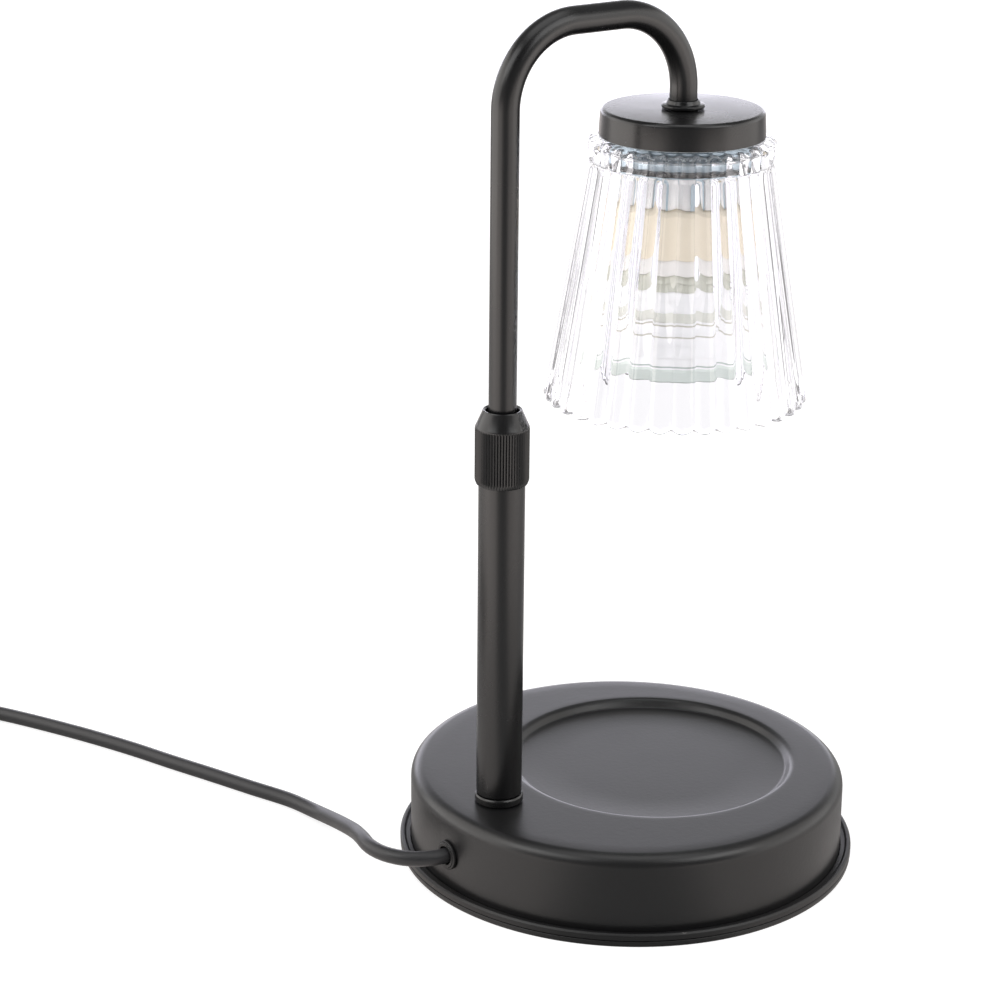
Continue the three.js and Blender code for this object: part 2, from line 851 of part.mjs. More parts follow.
place('lampholder', lampholder(), ceramic, shadeGroup);
for (const [name, side] of [['bulb_pin_1', -1], ['bulb_pin_2', 1]]) {
  const pinTop = pinBottom + pinHeight;
  const pin = turned([
    [0, pinBottom],
    [pinRadius, pinBottom],
    [pinRadius, pinTop - pinHeadHeight],
    [pinHeadRadius, pinTop - pinHeadHeight],
    [pinHeadRadius, pinTop],
    [0, pinTop],
  ], smallSides);
  place(name, pin.translate(0, (side * pinSpacing) / 2, 0), zincSteel, shadeGroup);
}

const bulbBaseBottom = bulbTop - bulbBaseHeight;
const throatTop = bulbBaseBottom - seatGap;
const reflectorBottom = throatTop - bulbDepth - bulbRimHeight;
const reflectorSteps = 4;

// The reflector's bowl follows a parabola from the throat to the rim
function bowl(shrink, topZ, bottomZ) {
  const points = [];
  const [inner, outer] = [bulbThroatRadius - shrink, bulbRimRadius - shrink];
  for (let i = 0; i <= reflectorSteps; i += 1) {
    const r = inner + ((outer - inner) * i) / reflectorSteps;
    const share = (r * r - inner * inner) / (outer * outer - inner * inner);
    points.push([r, topZ + (bottomZ - topZ) * share]);
  }
  return points;
}

place('bulb_base', turned([
  [0, bulbBaseBottom],
  [bulbNeckRadius, bulbBaseBottom],
  [bulbNeckRadius, bulbBaseBottom + bulbNeckHeight],
  [bulbBaseRadius, bulbBaseBottom + bulbNeckHeight],
  [bulbBaseRadius, bulbTop - bulbWall],
  [bulbBaseRadius - bulbWall, bulbTop],
  [0, bulbTop],
]), ceramic, shadeGroup);
const bowlBottom = reflectorBottom + bulbRimHeight;
place('bulb_reflector', turnedLoop([
  [capsuleRadius + seatGap, throatTop],
  ...bowl(0, throatTop, bowlBottom),
  [bulbRimRadius, reflectorBottom],
  [bulbRimRadius - bulbWall, reflectorBottom],
  ...bowl(bulbWall, throatTop - bulbWall, bowlBottom).reverse(),
  [capsuleRadius + seatGap, throatTop - bulbWall],
]), bulbGlass, shadeGroup);
const lensBottom = reflectorBottom + bulbWall / 2;
const lens = disc(bulbRimRadius - bulbWall - seatGap, lensBottom, lensBottom + lensSheet);
place('bulb_lens', lens, bulbGlass, shadeGroup);
place('bulb_capsule', turned([
  [0, throatTop - capsuleHeight],
  [capsuleRadius / 2, throatTop - capsuleHeight + bulbWall / 2],
  [capsuleRadius, throatTop - capsuleHeight + capsuleRadius],
  [capsuleRadius, throatTop],
  [0, throatTop],
], smallSides), bulbGlass, shadeGroup);

// Grommet and terminal block
function grommet() {
  const wallOut = seatGap + grommetOuter;
  const wallIn = -sheet - grommetInnerGap;
  const bush = turnedLoop([
    [grommetBore, wallOut],
    [grommetStep - grommetOuter / 4, wallOut],
    [grommetStep, wallOut - grommetOuter / 3],
    [grommetFlange, wallOut - grommetOuter / 2],
    [grommetFlange, seatGap],
    [grommetWaist, seatGap],
    [grommetWaist, wallIn],
    [grommetFlange, wallIn],
    [grommetFlange, wallIn - grommetInner],
    [grommetBore, wallIn - grommetInner],
  ], smallSides);
  return bush.rotateY(-Math.PI / 2).translate(-shellRadius, 0, grommetZ);
}

const blockX = -postShift - blockSetback;
const blockBottom = plateTop + seatGap;
const wellDepth = screwHeight + seatGap;

function terminalBlock() {
  const box = new THREE.BoxGeometry(blockLength, blockWidth, blockTop - blockBottom);
  box.translate(blockX + blockLength / 2, 0, (blockTop + blockBottom) / 2);
  let block = solid(box);
  for (const side of [-1, 1]) {
    const well = disc(screwRadius + seatGap, blockTop - wellDepth, blockTop + cutPast, leadSides);
    well.translate(blockX + blockLength - screwSpread, side * screwSpread, 0);
    block = block.subtract(solid(well));
  }
  return geometryOf(block);
}

place('grommet', grommet(), blackRubber);
place('terminal_block', terminalBlock(), nylon);
for (const [name, side] of [['terminal_screw_1', -1], ['terminal_screw_2', 1]]) {
  const screwBottom = blockTop - wellDepth + seatGap;
  const screw = disc(screwRadius, screwBottom, screwBottom + screwHeight, leadSides);
  place(name, screw.translate(blockX + blockLength - screwSpread, side * screwSpread, 0), brass);
}

// Cord
place('cord_lead', cordThrough(leadRoute, leadSteps), blackFlex);
place('cord_link', cordThrough(linkRoute, linkSteps), blackFlex);
place('cord_tail', cordThrough(tailRoute, tailSteps), blackFlex);

// The coil spirals in on the table, climbs in the half turn where it reverses, and spirals out
function coilStations() {
  const points = [];
  const turns = coilTurns * coilLayers;
  const last = Math.round(turns * coilSteps);
  const middle = Math.PI * turns;
  const spot = (turn) => {
    const away = Math.hypot(turn - middle, reversalBlend);
    const r = coilInner + (coilPitch * away) / (2 * Math.PI);
    const climb = THREE.MathUtils.clamp((turn - middle) / Math.PI + 1 / 2, 0, 1);
    const lift = climb * climb * (3 - 2 * climb);
    return new THREE.Vector3(
      coilX + r * Math.cos(Math.PI + turn),
      coilY + r * Math.sin(Math.PI + turn),
      coilZ + coilPitch * lift,
    );
  };
  for (let i = 0; i <= last; i += 1) {
    points.push(spot((2 * Math.PI * i) / coilSteps));
  }
  const straight = new THREE.Vector3(0, 2 * cordRadius, 0);
  points.unshift(points[0].clone().add(straight));
  points.push(points[points.length - 1].clone().sub(straight));
  const tangents = points.map((_, i) => {
    const before = points[Math.max(i - 1, 0)];
    const after = points[Math.min(i + 1, points.length - 1)];
    return after.clone().sub(before).normalize();
  });
  return new StationRoute(points, tangents);
}

// The least distance between turns that aren't next to each other along the cord
function leastGap(points) {
  let least = Infinity;
  for (let i = 0; i < points.length; i += 1) {
    for (let j = i + coilSteps / 2; j < points.length; j += 1) {
      least = Math.min(least, points[i].distanceTo(points[j]));
    }
  }
  return least - 2 * cordRadius;
}

const coil = coilStations();
let coilLength = 0;
coil.points.slice(1).forEach((point, i) => {
  coilLength += point.distanceTo(coil.points[i]);
});
console.log(`coil: ${coilLength.toFixed(0)} mm of cord, least gap ${leastGap(coil.points).toFixed(2)} mm`);
place('cord_coil', sweep(circleSection(cordRadius, coilSides), coil, coil.points.length - 1), blackFlex);

// The tie loops round all the turns at the side of the coil that is away from the lamp
function cordTie() {
  const coilOuter = coilInner + coilPitch * coilTurns;
  const inside = cordRadius + tieSlack;
  const [left, right] = [coilInner - inside, coilOuter + inside];
  const [bottom, top] = [coilZ - inside, coilZ + coilPitch + inside];
  const strap = new THREE.Shape();
  strap.moveTo(left - tieThickness, bottom - tieThickness);
  strap.lineTo(right + tieThickness, bottom - tieThickness);
  strap.lineTo(right + tieThickness, top + tieThickness);
  strap.lineTo(left - tieThickness, top + tieThickness);
  strap.closePath();
  const hole = new THREE.Path();
  hole.moveTo(left, bottom);
  hole.lineTo(left, top);
  hole.lineTo(right, top);
  hole.lineTo(right, bottom);
  hole.closePath();
  strap.holes.push(hole);
  const band = new THREE.ExtrudeGeometry(strap, { depth: tieWidth, bevelEnabled: false });
  band.translate(0, 0, -tieWidth / 2).rotateX(Math.PI / 2).rotateZ(-Math.PI / 2);
  return closed(band.translate(coilX, coilY, 0));
}

place('cord_tie', cordTie(), blackRubber);

// Dimmer, modelled about its own centre with its length along X, then moved to its place
const dimmerGroup = new THREE.Group();
dimmerGroup.position.set(dimmerX, dimmerY, dimmerHeight / 2);
lamp.add(dimmerGroup);
const wheelY = dimmerWidth / 2 + wheelProud - wheelRadius;

function roundedRectangle(length, width, corner) {
  const [x, y] = [length / 2, width / 2];
  const outline = new THREE.Shape();
  outline.moveTo(-x + corner, -y);
  outline.lineTo(x - corner, -y);
  outline.absarc(x - corner, -y + corner, corner, -Math.PI / 2, 0, false);
  outline.lineTo(x, y - corner);
  outline.absarc(x - corner, y - corner, corner, 0, Math.PI / 2, false);
  outline.lineTo(-x + corner, y);
  outline.absarc(-x + corner, y - corner, corner, Math.PI / 2, Math.PI, false);
  outline.lineTo(-x, -y + corner);
  outline.absarc(-x + corner, -y + corner, corner, Math.PI, 1.5 * Math.PI, false);
  return outline;
}

// A block with rounded corners and bevelled top and bottom edges, centred on the origin
function moulded(length, width, height, corner, bevel) {
  const outline = roundedRectangle(length - 2 * bevel, width - 2 * bevel, corner - bevel);
  const block = new THREE.ExtrudeGeometry(outline, {
    depth: height - 2 * bevel,
    bevelThickness: bevel,
    bevelSize: bevel,
    bevelSegments: 1,
    curveSegments: 3,
  });
  return block.translate(0, 0, -(height - 2 * bevel) / 2);
}

function dimmerHalf(side) {
  const cavityLength = dimmerLength - 2 * dimmerWall;
  const cavityWidth = dimmerWidth - 2 * dimmerWall;
  const cavityHeight = dimmerHeight - 2 * dimmerWall;
  let shell = solid(moulded(dimmerLength, dimmerWidth, dimmerHeight, dimmerCorner, dimmerBevel));
  shell = shell.subtract(solid(moulded(
    cavityLength,
    cavityWidth,
    cavityHeight,
    dimmerCorner - dimmerWall,
    dimmerBevel / 2,
  )));
  const halfGap = seatGap / 2;
  const other = new THREE.BoxGeometry(dimmerLength * 2, dimmerWidth * 2, dimmerHeight * 2);
  shell = shell.subtract(solid(other.translate(0, 0, -side * (dimmerHeight - halfGap))));
  const slotSide = wheelRadius + 2 * runGap;
  const slot = disc(slotSide, -wheelHeight / 2 - runGap, wheelHeight / 2 + runGap, midSides);
  shell = shell.subtract(solid(slot.translate(0, wheelY, 0)));
  const ends = disc(reliefWaist + seatGap, -dimmerLength, dimmerLength, smallSides).rotateY(Math.PI / 2);
  shell = shell.subtract(solid(ends));
  if (side > 0) return geometryOf(shell);

  // The lower half carries the pillar that the wheel turns on
  const step = wheelBore + wheelRidgeDepth;
  const pillarRadius = wheelBore - runGap;
  const pillar = turned([
    [0, -dimmerHeight / 2 + dimmerWall / 2],
    [step, -dimmerHeight / 2 + dimmerWall / 2],
    [step, -wheelHeight / 2 - runGap],
    [pillarRadius, -wheelHeight / 2 - runGap],
    [pillarRadius, wheelHeight / 2],
    [0, wheelHeight / 2],
  ], smallSides);
  return geometryOf(shell.add(solid(pillar.translate(0, wheelY, 0))));
}

function dimmerRelief(side) {
  const bore = cordRadius + runGap;
  const wallOut = dimmerLength / 2 + seatGap;
  const wallIn = dimmerLength / 2 - dimmerWall - seatGap;
  const relief = turnedLoop([
    [bore, wallIn - dimmerWall],
    [reliefFlange, wallIn - dimmerWall],
    [reliefFlange, wallIn],
    [reliefWaist, wallIn],
    [reliefWaist, wallOut],
    [reliefRadius, wallOut],
    [reliefRadius, wallOut + reliefLength / 5],
    [reliefTip, wallOut + reliefLength],
    [bore, wallOut + reliefLength],
  ], smallSides);
  return relief.rotateY((side * Math.PI) / 2);
}

place('dimmer_base', dimmerHalf(-1), blackPlastic, dimmerGroup);
place('dimmer_cover', dimmerHalf(1), blackPlastic, dimmerGroup);
place('dimmer_relief_in', dimmerRelief(1), blackRubber, dimmerGroup);
place('dimmer_relief_out', dimmerRelief(-1), blackRubber, dimmerGroup);

// The board stands on the floor of the lower half, beside the wheel
const boardY = -dimmerWidth / 2 + dimmerWall + boardInset + boardWidth / 2;
const boardZ = -dimmerHeight / 2 + dimmerWall + seatGap + boardSheet / 2;
const board = new THREE.BoxGeometry(boardLength, boardWidth, boardSheet);
place('dimmer_board', board.translate(0, boardY, boardZ), circuitGreen, dimmerGroup);

function dimmerWheel() {
  const half = wheelHeight / 2;
  const chamfer = wheelRadius * (1 - wheelShare / 2);
  return rippled([
    [wheelBore, -half, 0],
    [chamfer, -half, 0],
    [wheelRadius, -half + wheelRidgeDepth, 1],
    [wheelRadius, half - wheelRidgeDepth, 1],
    [chamfer, half, 0],
    [wheelBore, half, 0],
  ], wheelRidges, 2, wheelRidgeDepth);
}

place('dimmer_wheel', dimmerWheel().translate(0, wheelY, 0), blackPlastic, dimmerGroup);

// Plug, with its tail towards +Y and its blades towards -Y
const plugGroup = new THREE.Group();
plugGroup.position.set(plugX, plugY, plugZ);
lamp.add(plugGroup);

function plugBodySolid() {
  const body = moulded(plugBody, plugBodyWidth, plugBodyHeight, plugCorner, plugBevel);
  body.rotateZ(Math.PI / 2).translate(0, -plugTail - plugBody / 2, 0);
  const tail = turned([
    [0, 0],
    [plugTailTip, 0],
    [plugTailRoot, plugTail],
    [plugTailRoot, plugTail + plugBody / 2],
    [0, plugTail + plugBody / 2],
  ], smallSides);
  return geometryOf(solid(body).add(solid(tail.rotateX(Math.PI / 2))));
}

place('plug_body', plugBodySolid(), blackRubber, plugGroup);
for (const [name, side] of [['plug_blade_1', -1], ['plug_blade_2', 1]]) {
  const blade = new THREE.BoxGeometry(bladeSheet, bladeLength, bladeWidth);
  const bladeY = -plugTail - plugBody - seatGap - bladeLength / 2;
  place(name, blade.translate((side * bladeSpacing) / 2, bladeY, 0), brass, plugGroup);
}

export default lamp;
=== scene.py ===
# %% [markdown]
# # A candle warmer lamp
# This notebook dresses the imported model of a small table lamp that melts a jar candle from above.
# The model gives every piece its place, in metres, so each finer piece here is made where the
# plain one stands and then takes over from it.

# %% Load the model
import math

import bmesh
import bpy
from mathutils import Matrix, Vector


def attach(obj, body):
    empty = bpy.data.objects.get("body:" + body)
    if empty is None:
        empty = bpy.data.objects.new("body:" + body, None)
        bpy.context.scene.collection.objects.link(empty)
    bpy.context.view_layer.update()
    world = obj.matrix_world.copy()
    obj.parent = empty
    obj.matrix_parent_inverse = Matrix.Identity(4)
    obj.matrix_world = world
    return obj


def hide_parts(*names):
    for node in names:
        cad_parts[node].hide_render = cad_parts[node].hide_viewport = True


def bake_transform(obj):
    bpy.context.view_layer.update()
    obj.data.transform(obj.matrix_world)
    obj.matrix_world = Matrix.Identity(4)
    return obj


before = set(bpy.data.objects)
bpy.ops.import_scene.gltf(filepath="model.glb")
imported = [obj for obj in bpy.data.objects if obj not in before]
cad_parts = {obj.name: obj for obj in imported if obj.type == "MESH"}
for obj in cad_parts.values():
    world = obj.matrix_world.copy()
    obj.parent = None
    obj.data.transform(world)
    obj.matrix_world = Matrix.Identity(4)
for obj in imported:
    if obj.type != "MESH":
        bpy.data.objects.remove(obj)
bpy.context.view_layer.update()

MM = 0.001

# %% [markdown]
# ## The camera
# The lamp was photographed from its front left, a little above the shade, with a long lens. The
# place and the three turns below were fitted to the edges of the base, post, cap and glass. A lens
# is easier to reason about as a focal length on a 36 mm sensor, which is what Blender asks for.

# %% Place the camera
EYE = Vector((-515.26, -656.94, 410.67)) * MM
YAW, PITCH, ROLL = 0.9552, 0.3393, 0.0093
FOCAL_MM = 102.69

forward = Vector((math.cos(YAW) * math.cos(PITCH), math.sin(YAW) * math.cos(PITCH), -math.sin(PITCH)))
level_right = Vector((math.sin(YAW), -math.cos(YAW), 0))
level_up = level_right.cross(forward)
right = math.cos(ROLL) * level_right + math.sin(ROLL) * level_up
up = math.cos(ROLL) * level_up - math.sin(ROLL) * level_right

camera_data = bpy.data.cameras.new("photo_camera")
camera_data.lens = FOCAL_MM
camera_data.sensor_width = 36
camera_data.clip_end = 20
camera = bpy.data.objects.new("photo_camera", camera_data)
bpy.context.scene.collection.objects.link(camera)
camera.matrix_world = Matrix.Translation(EYE) @ Matrix((right, up, -forward)).transposed().to_4x4()
bpy.context.scene.camera = camera
print("camera looks down by", round(math.degrees(PITCH), 1), "degrees")

# %% [markdown]
# ## Ways to make a form
# Nearly every piece of this lamp was turned, spun or drawn, so its skin is a stack of loops.
# One helper skins any stack of loops. A second one makes the loops of a round piece from its
# half outline, and a third sweeps a round section along a path. Corners of an outline get a
# real radius first, because no edge of a painted lamp is knife sharp.

# %% Skin a stack of loops
def skinned(name, loops, closed=False):
    """A mesh through loops of equal count. A loop of one point is a pole; open ends are capped."""
    mesh = bpy.data.meshes.new(name)
    form = bmesh.new()
    rows = [[form.verts.new(point) for point in loop] for loop in loops]
    pairs = list(zip(rows, rows[1:])) + ([(rows[-1], rows[0])] if closed else [])
    for low, high in pairs:
        count = max(len(low), len(high))
        for k in range(count):
            j = (k + 1) % count
            corners = [low[k % len(low)], low[j % len(low)], high[j % len(high)], high[k % len(high)]]
            corners = list(dict.fromkeys(corners))
            if len(corners) > 2:
                form.faces.new(corners)
    if not closed:
        for row in (rows[0], rows[-1]):
            if len(row) > 2:
                form.faces.new(row)
    return smoothed(written_outwards(form, mesh))


def written_outwards(form, mesh):
    """The mesh with the form written to it, its faces turned outwards."""
    bmesh.ops.recalc_face_normals(form, faces=form.faces)
    if form.calc_volume(signed=True) < 0:
        bmesh.ops.reverse_faces(form, faces=form.faces)
    form.to_mesh(mesh)
    form.free()
    return mesh


def smoothed(mesh, crease=33):
    """Soft shading that keeps every corner sharper than the crease angle, in degrees."""
    mesh.shade_smooth()
    mesh.set_sharp_from_angle(angle=math.radians(crease))
    return mesh


# %% Round an outline and turn it
def rounded(corners, cyclic=False, steps=5):
    """An outline of (across, along) or (across, along, radius) corners, in mm, with its arcs."""
    points = []
    for i, corner in enumerate(corners):
        here = Vector(corner[:2])
        at_end = not cyclic and i in (0, len(corners) - 1)
        if len(corner) < 3 or at_end:
            points.append(tuple(here))
            continue
        back = Vector(corners[i - 1][:2]) - here
        on = Vector(corners[(i + 1) % len(corners)][:2]) - here
        half = back.angle(on) / 2
        reach = min(corner[2] / math.tan(half), back.length * 0.49, on.length * 0.49)
        radius = reach * math.tan(half)
        centre = here + (back.normalized() + on.normalized()).normalized() * radius / math.sin(half)
        first = here + back.normalized() * reach - centre
        last = here + on.normalized() * reach - centre
        turn = math.atan2(first.x * last.y - first.y * last.x, first.dot(last))
        for k in range(steps + 1):
            angle = turn * k / steps
            arm = Vector((
                first.x * math.cos(angle) - first.y * math.sin(angle),
                first.x * math.sin(angle) + first.y * math.cos(angle),
            ))
            points.append(tuple(centre + arm))
    return points


def circle(radius, height, centre, sides):
    """A level circle in metres, or a single pole where the radius is nothing."""
    if radius < 1e-6:
        return [Vector((centre[0], centre[1], height)) * MM]
    return [
        Vector((
            centre[0] + radius * math.cos(2 * math.pi * k / sides),
            centre[1] + radius * math.sin(2 * math.pi * k / sides),
            height,
        )) * MM
        for k in range(sides)
    ]


def turned(name, outline, centre=(0, 0), sides=96, closed=False):
    """A round piece about an upright line from its half outline of (radius, height) in mm."""
    loops = [circle(r, z, centre, sides) for r, z in outline]
    return skinned(name, loops, closed)


print("an outline with one rounded corner has", len(rounded([(0, 0), (9, 0, 2), (9, 9)])), "points")

# %% [markdown]
# A tube needs a frame that travels along its path without twisting. Carrying the last frame over
# by the small rotation between two directions does that, and it also works round a coil.

# %% Sweep a tube
def travelling_frames(path):
    """For each point of a path: the point, and two directions across it that don't twist."""
    frames = []
    across = None
    for i, point in enumerate(path):
        ahead = (path[min(i + 1, len(path) - 1)] - path[max(i - 1, 0)]).normalized()
        if across is None:
            across = ahead.orthogonal().normalized()
        else:
            across = (across - ahead * across.dot(ahead)).normalized()
        frames.append((point, across, ahead.cross(across)))
    return frames


def tube(name, path, radius, sides=20, bore=0):
    """A round tube along a path in metres; radius and bore are in mm, and the ends are closed."""
    def ring(frame_at, r):
        point, a, b = frame_at
        return [
            point + (a * math.cos(t) + b * math.sin(t)) * r * MM
            for t in (2 * math.pi * k / sides for k in range(sides))
        ]

    frames = travelling_frames(path)
    loops = [ring(f, radius) for f in frames]
    if bore:
        loops += [ring(f, bore) for f in reversed(frames)]
    return skinned(name, loops, closed=bool(bore))


def smooth_route(route, step=2.2):
    """A centripetal Catmull-Rom curve through a route in mm, as points in metres a step apart."""
    points = [Vector(p) for p in route]
    points = [2 * points[0] - points[1]] + points + [2 * points[-1] - points[-2]]
    fine = []
    for a, b, c, d in zip(points, points[1:], points[2:], points[3:]):
        t1 = (b - a).length ** 0.5
        t2 = t1 + (c - b).length ** 0.5
        t3 = t2 + (d - c).length ** 0.5
        count = max(2, round((c - b).length / step))
        for k in range(count):
            t = t1 + (t2 - t1) * k / count
            ab = a.lerp(b, t / t1)
            bc = b.lerp(c, (t - t1) / (t2 - t1))
            cd = c.lerp(d, (t - t2) / (t3 - t2))
            abc = ab.lerp(bc, t / t2)
            bcd = bc.lerp(cd, (t - t1) / (t3 - t1))
            fine.append(abc.lerp(bcd, (t - t1) / (t2 - t1)) * MM)
    fine.append(points[-2] * MM)
    return fine


# %% [markdown]
# ## Nodes and colours
# Materials and Geometry Nodes trees are both made of nodes, so one function adds a node of any
# kind, sets its options and sockets by name, and links what feeds it. Colours are written as
# they look on a screen and turned to linear light by one other function.

# %% Add a node, and read a colour
def set_node(tree, node, settings=None, links=None):
    """Sets up a node. Names that match an input are sockets, the others are options of the node.

    A link comes from a socket, or from a node, which then gives its first output in use.
    """
    settings = dict(settings or {})
    for name in [key for key in settings if not isinstance(key, int) and key[0].islower()]:
        setattr(node, name, settings.pop(name))

    def socket(key):
        if isinstance(key, int):
            return node.inputs[key]
        return next(s for s in node.inputs if s.enabled and s.name == key)

    for key, value in settings.items():
        socket(key).default_value = value
    for key, source in (links or {}).items():
        if isinstance(source, bpy.types.Node):
            source = next(s for s in source.outputs if s.enabled)
        tree.links.new(source, socket(key))
    return node


def add_node(tree, kind, settings=None, links=None):
    """Adds a node of any kind and sets it up. A kind with a short name is a shader node."""
    return set_node(tree, tree.nodes.new(kind if "Node" in kind else "ShaderNode" + kind), settings, links)


def srgb(text):
    """A hex colour as four linear values, the last of them opaque."""
    values = [int(text[i:i + 2], 16) / 255 for i in (1, 3, 5)]
    linear = [v / 12.92 if v <= 0.04045 else ((v + 0.055) / 1.055) ** 2.4 for v in values]
    return (*linear, 1.0)


def per(size_mm):
    """The texture scale whose pattern repeats about every size in mm, on coordinates in metres."""
    return 1000 / size_mm


def new_material(name):
    """A material, its tree, the shader that the tree ends in, and the piece's own coordinates."""
    material = bpy.data.materials.new(name)
    material.use_nodes = True
    tree = material.node_tree
    tree.nodes.clear()
    shade = add_node(tree, "BsdfPrincipled")
    add_node(tree, "OutputMaterial", None, {"Surface": shade})
    where = add_node(tree, "TexCoord").outputs["Object"]
    return material, tree, shade, where


print("mid grey in linear light:", [round(v, 3) for v in srgb("#808080")])

# %% [markdown]
# On most of these surfaces the colour, the shine and the skin drift, each over a size of its own.
# A cloud of noise can drive each of them, so one function makes such a finish from those sizes.

# %% Cloud a finish
def clouded_finish(name, settings, tones=None, shine=None, grain=None):
    """A finish with fixed settings, and a cloud of noise for each thing that drifts. Sizes are in mm.

    tones is (size, detail, colour, colour), shine is (size, detail, least roughness, most
    roughness), and grain is (size, detail, strength, depth).
    """
    material, tree, shade, where = new_material(name)
    drifts = []
    if tones:
        size, detail, first, second = tones
        mixing = {"data_type": "RGBA", "A": srgb(first), "B": srgb(second)}
        drifts.append((size, detail, "Base Color", "Mix", "Factor", mixing))
    if shine:
        size, detail, least, most = shine
        drifts.append((size, detail, "Roughness", "MapRange", "Value", {"To Min": least, "To Max": most}))
    if grain:
        size, detail, strength, depth = grain
        bumps = {"Strength": strength, "Distance": depth * MM}
        drifts.append((size, detail, "Normal", "Bump", "Height", bumps))
    links = {}
    for size, detail, goal, kind, entry, options in drifts:
        cloud = add_node(tree, "TexNoise", {"Scale": per(size), "Detail": detail}, {"Vector": where})
        links[goal] = add_node(tree, kind, options, {entry: cloud})
    set_node(tree, shade, settings, links)
    return material


# %% [markdown]
# A finished piece is a mesh with its place in it. It rides on a body of the model, carries its
# own material, and stands for the plain node that it replaces, which is hidden. Holes and slots are
# taken out of a mesh with exact Booleans, whose result is baked in before the piece is made.


def add_piece(mesh, material, body, replaces=()):
    """Puts a mesh in the scene as a finished piece that rides on a body of the model."""
    piece = bpy.data.objects.new(mesh.name, mesh)
    bpy.context.scene.collection.objects.link(piece)
    if material:
        mesh.materials.clear()
        mesh.materials.append(material)
    if body:
        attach(piece, body)
    if replaces:
        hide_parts(*replaces)
    print(f"{mesh.name}: {len(mesh.polygons)} faces on {body}")
    return piece


def add_turned(name, outline, x, sides, material, body, node=None, cyclic=True, steps=5):
    """Rounds an outline, turns it about the upright line at x, and puts it in the scene."""
    mesh = turned(name, rounded(outline, cyclic, steps), (x, 0), sides, cyclic)
    return add_piece(mesh, material, body, [node] if node else ())


def with_modifiers_baked(mesh_object):
    """The evaluated mesh of an object, with its modifiers baked in."""
    depsgraph = bpy.context.evaluated_depsgraph_get()
    return bpy.data.meshes.new_from_object(mesh_object.evaluated_get(depsgraph))


def carved(mesh, *cutters):
    """The mesh with the cutter meshes taken out of it."""
    body = bpy.data.objects.new("carved_body", mesh)
    bpy.context.scene.collection.objects.link(body)
    tools = []
    for cutter in cutters:
        tool = bpy.data.objects.new("cutter", cutter)
        bpy.context.scene.collection.objects.link(tool)
        tools.append(tool)
        step = body.modifiers.new("cut", "BOOLEAN")
        step.operation = "DIFFERENCE"
        step.solver = "EXACT"
        step.object = tool
    name = mesh.name
    result = with_modifiers_baked(body)
    for spare in [body, *tools]:
        bpy.data.objects.remove(spare)
    mesh.name = name + "_blank"
    result.name = name
    return smoothed(result)


# %% [markdown]
# ## The flex
# The mains flex is 4.8 mm across in a black plastic sheath. It leaves a grommet low in the back of
# the base, dips to the table and runs to an inline dimmer outside the picture. A table lamp has
# about 1.7 m of flex, so the rest is wound as it comes out of the box: seven turns in two layers,
# held by a strap, with the plug beside them. The points are the ones that the model follows.

# %% Lay the flex
FLEX_RADIUS = 2.4
GROMMET_Z = 14.2
LEAD_ROUTE = [
    (-59.7, 0, 14.2), (-66, 0, 14.2), (-71.5, 0, 14.2), (-77, 1.8, 14.2), (-81.7, 5.6, 14.2),
    (-84.9, 11.6, 14.1), (-85.5, 19, 13.8), (-83.2, 27.2, 12.8), (-80.2, 36.1, 10.6), (-78, 46.1, 8.2),
    (-76.2, 56.6, 5.7), (-74.9, 67.2, 3.35), (-76.6, 81.6, 2.5), (-82.3, 97.2, 2.45),
    (-88.1, 113.3, 2.45), (-94.4, 130.2, 2.45), (-100.5, 147.4, 2.45), (-107.8, 165.3, 2.45),
    (-116, 183, 2.45), (-123.5, 197.5, 2.5), (-131.2, 208.8, 3), (-136.6, 215.8, 4.2),
    (-143.2, 221, 6), (-150.4, 223.7, 7.8), (-156.4, 224.4, 8.8), (-162, 224.4, 9),
    (-172, 224.4, 9), (-182.3, 224.4, 9),
]
LINK_ROUTE = [
    (-233.7, 224.4, 9), (-246, 224.4, 9), (-258, 224.4, 9), (-266.2, 223, 8.6), (-273, 218.6, 7.4),
    (-277.6, 212, 5.8), (-279, 204, 4.4), (-279, 195, 3.6), (-279, 184, 3.4), (-279, 172, 3.4),
    (-279, 162.1, 3.4),
]
TAIL_ROUTE = [(-279, 151.9, 8.8), (-279, 147, 8.7), (-279, 138, 8.1), (-279, 132.3, 8)]
COIL_CENTRE = (-240.6, 157, 3.4)
COIL_INNER, COIL_PITCH, COIL_TURNS, COIL_BLEND = 19.5, 5.4, 7, 0.35


def coil_route(steps_per_turn=48):
    """Spirals in on the table, climbs in the half turn where it reverses, and spirals out on top."""
    middle = math.pi * COIL_TURNS
    points = []
    for i in range(COIL_TURNS * steps_per_turn + 1):
        turn = 2 * math.pi * i / steps_per_turn
        r = COIL_INNER + COIL_PITCH * math.hypot(turn - middle, COIL_BLEND) / (2 * math.pi)
        climb = min(max((turn - middle) / math.pi + 0.5, 0), 1)
        lift = climb * climb * (3 - 2 * climb)
        points.append((
            COIL_CENTRE[0] + r * math.cos(math.pi + turn),
            COIL_CENTRE[1] + r * math.sin(math.pi + turn),
            COIL_CENTRE[2] + COIL_PITCH * lift,
        ))
    return points


lead_path = smooth_route(LEAD_ROUTE)
wound_path = smooth_route(LINK_ROUTE + coil_route() + TAIL_ROUTE)

lead_mesh = tube("mains_lead", lead_path, FLEX_RADIUS)
wound_mesh = tube("wound_flex", wound_path, FLEX_RADIUS, sides=16)

# %% [markdown]
# ## Sheathed flex, rubber and plastic
# PVC sheath is smooth but never mirror flat: it shows a soft sheen along its length and the
# faintest lay of the cores inside. The plug is the same plastic, moulded. Rubber is duller and
# picks up pale scuffs. The dimmer is ABS with a fine spark-eroded grain, which breaks up its
# highlights, and the strap round the wound flex is woven nylon.

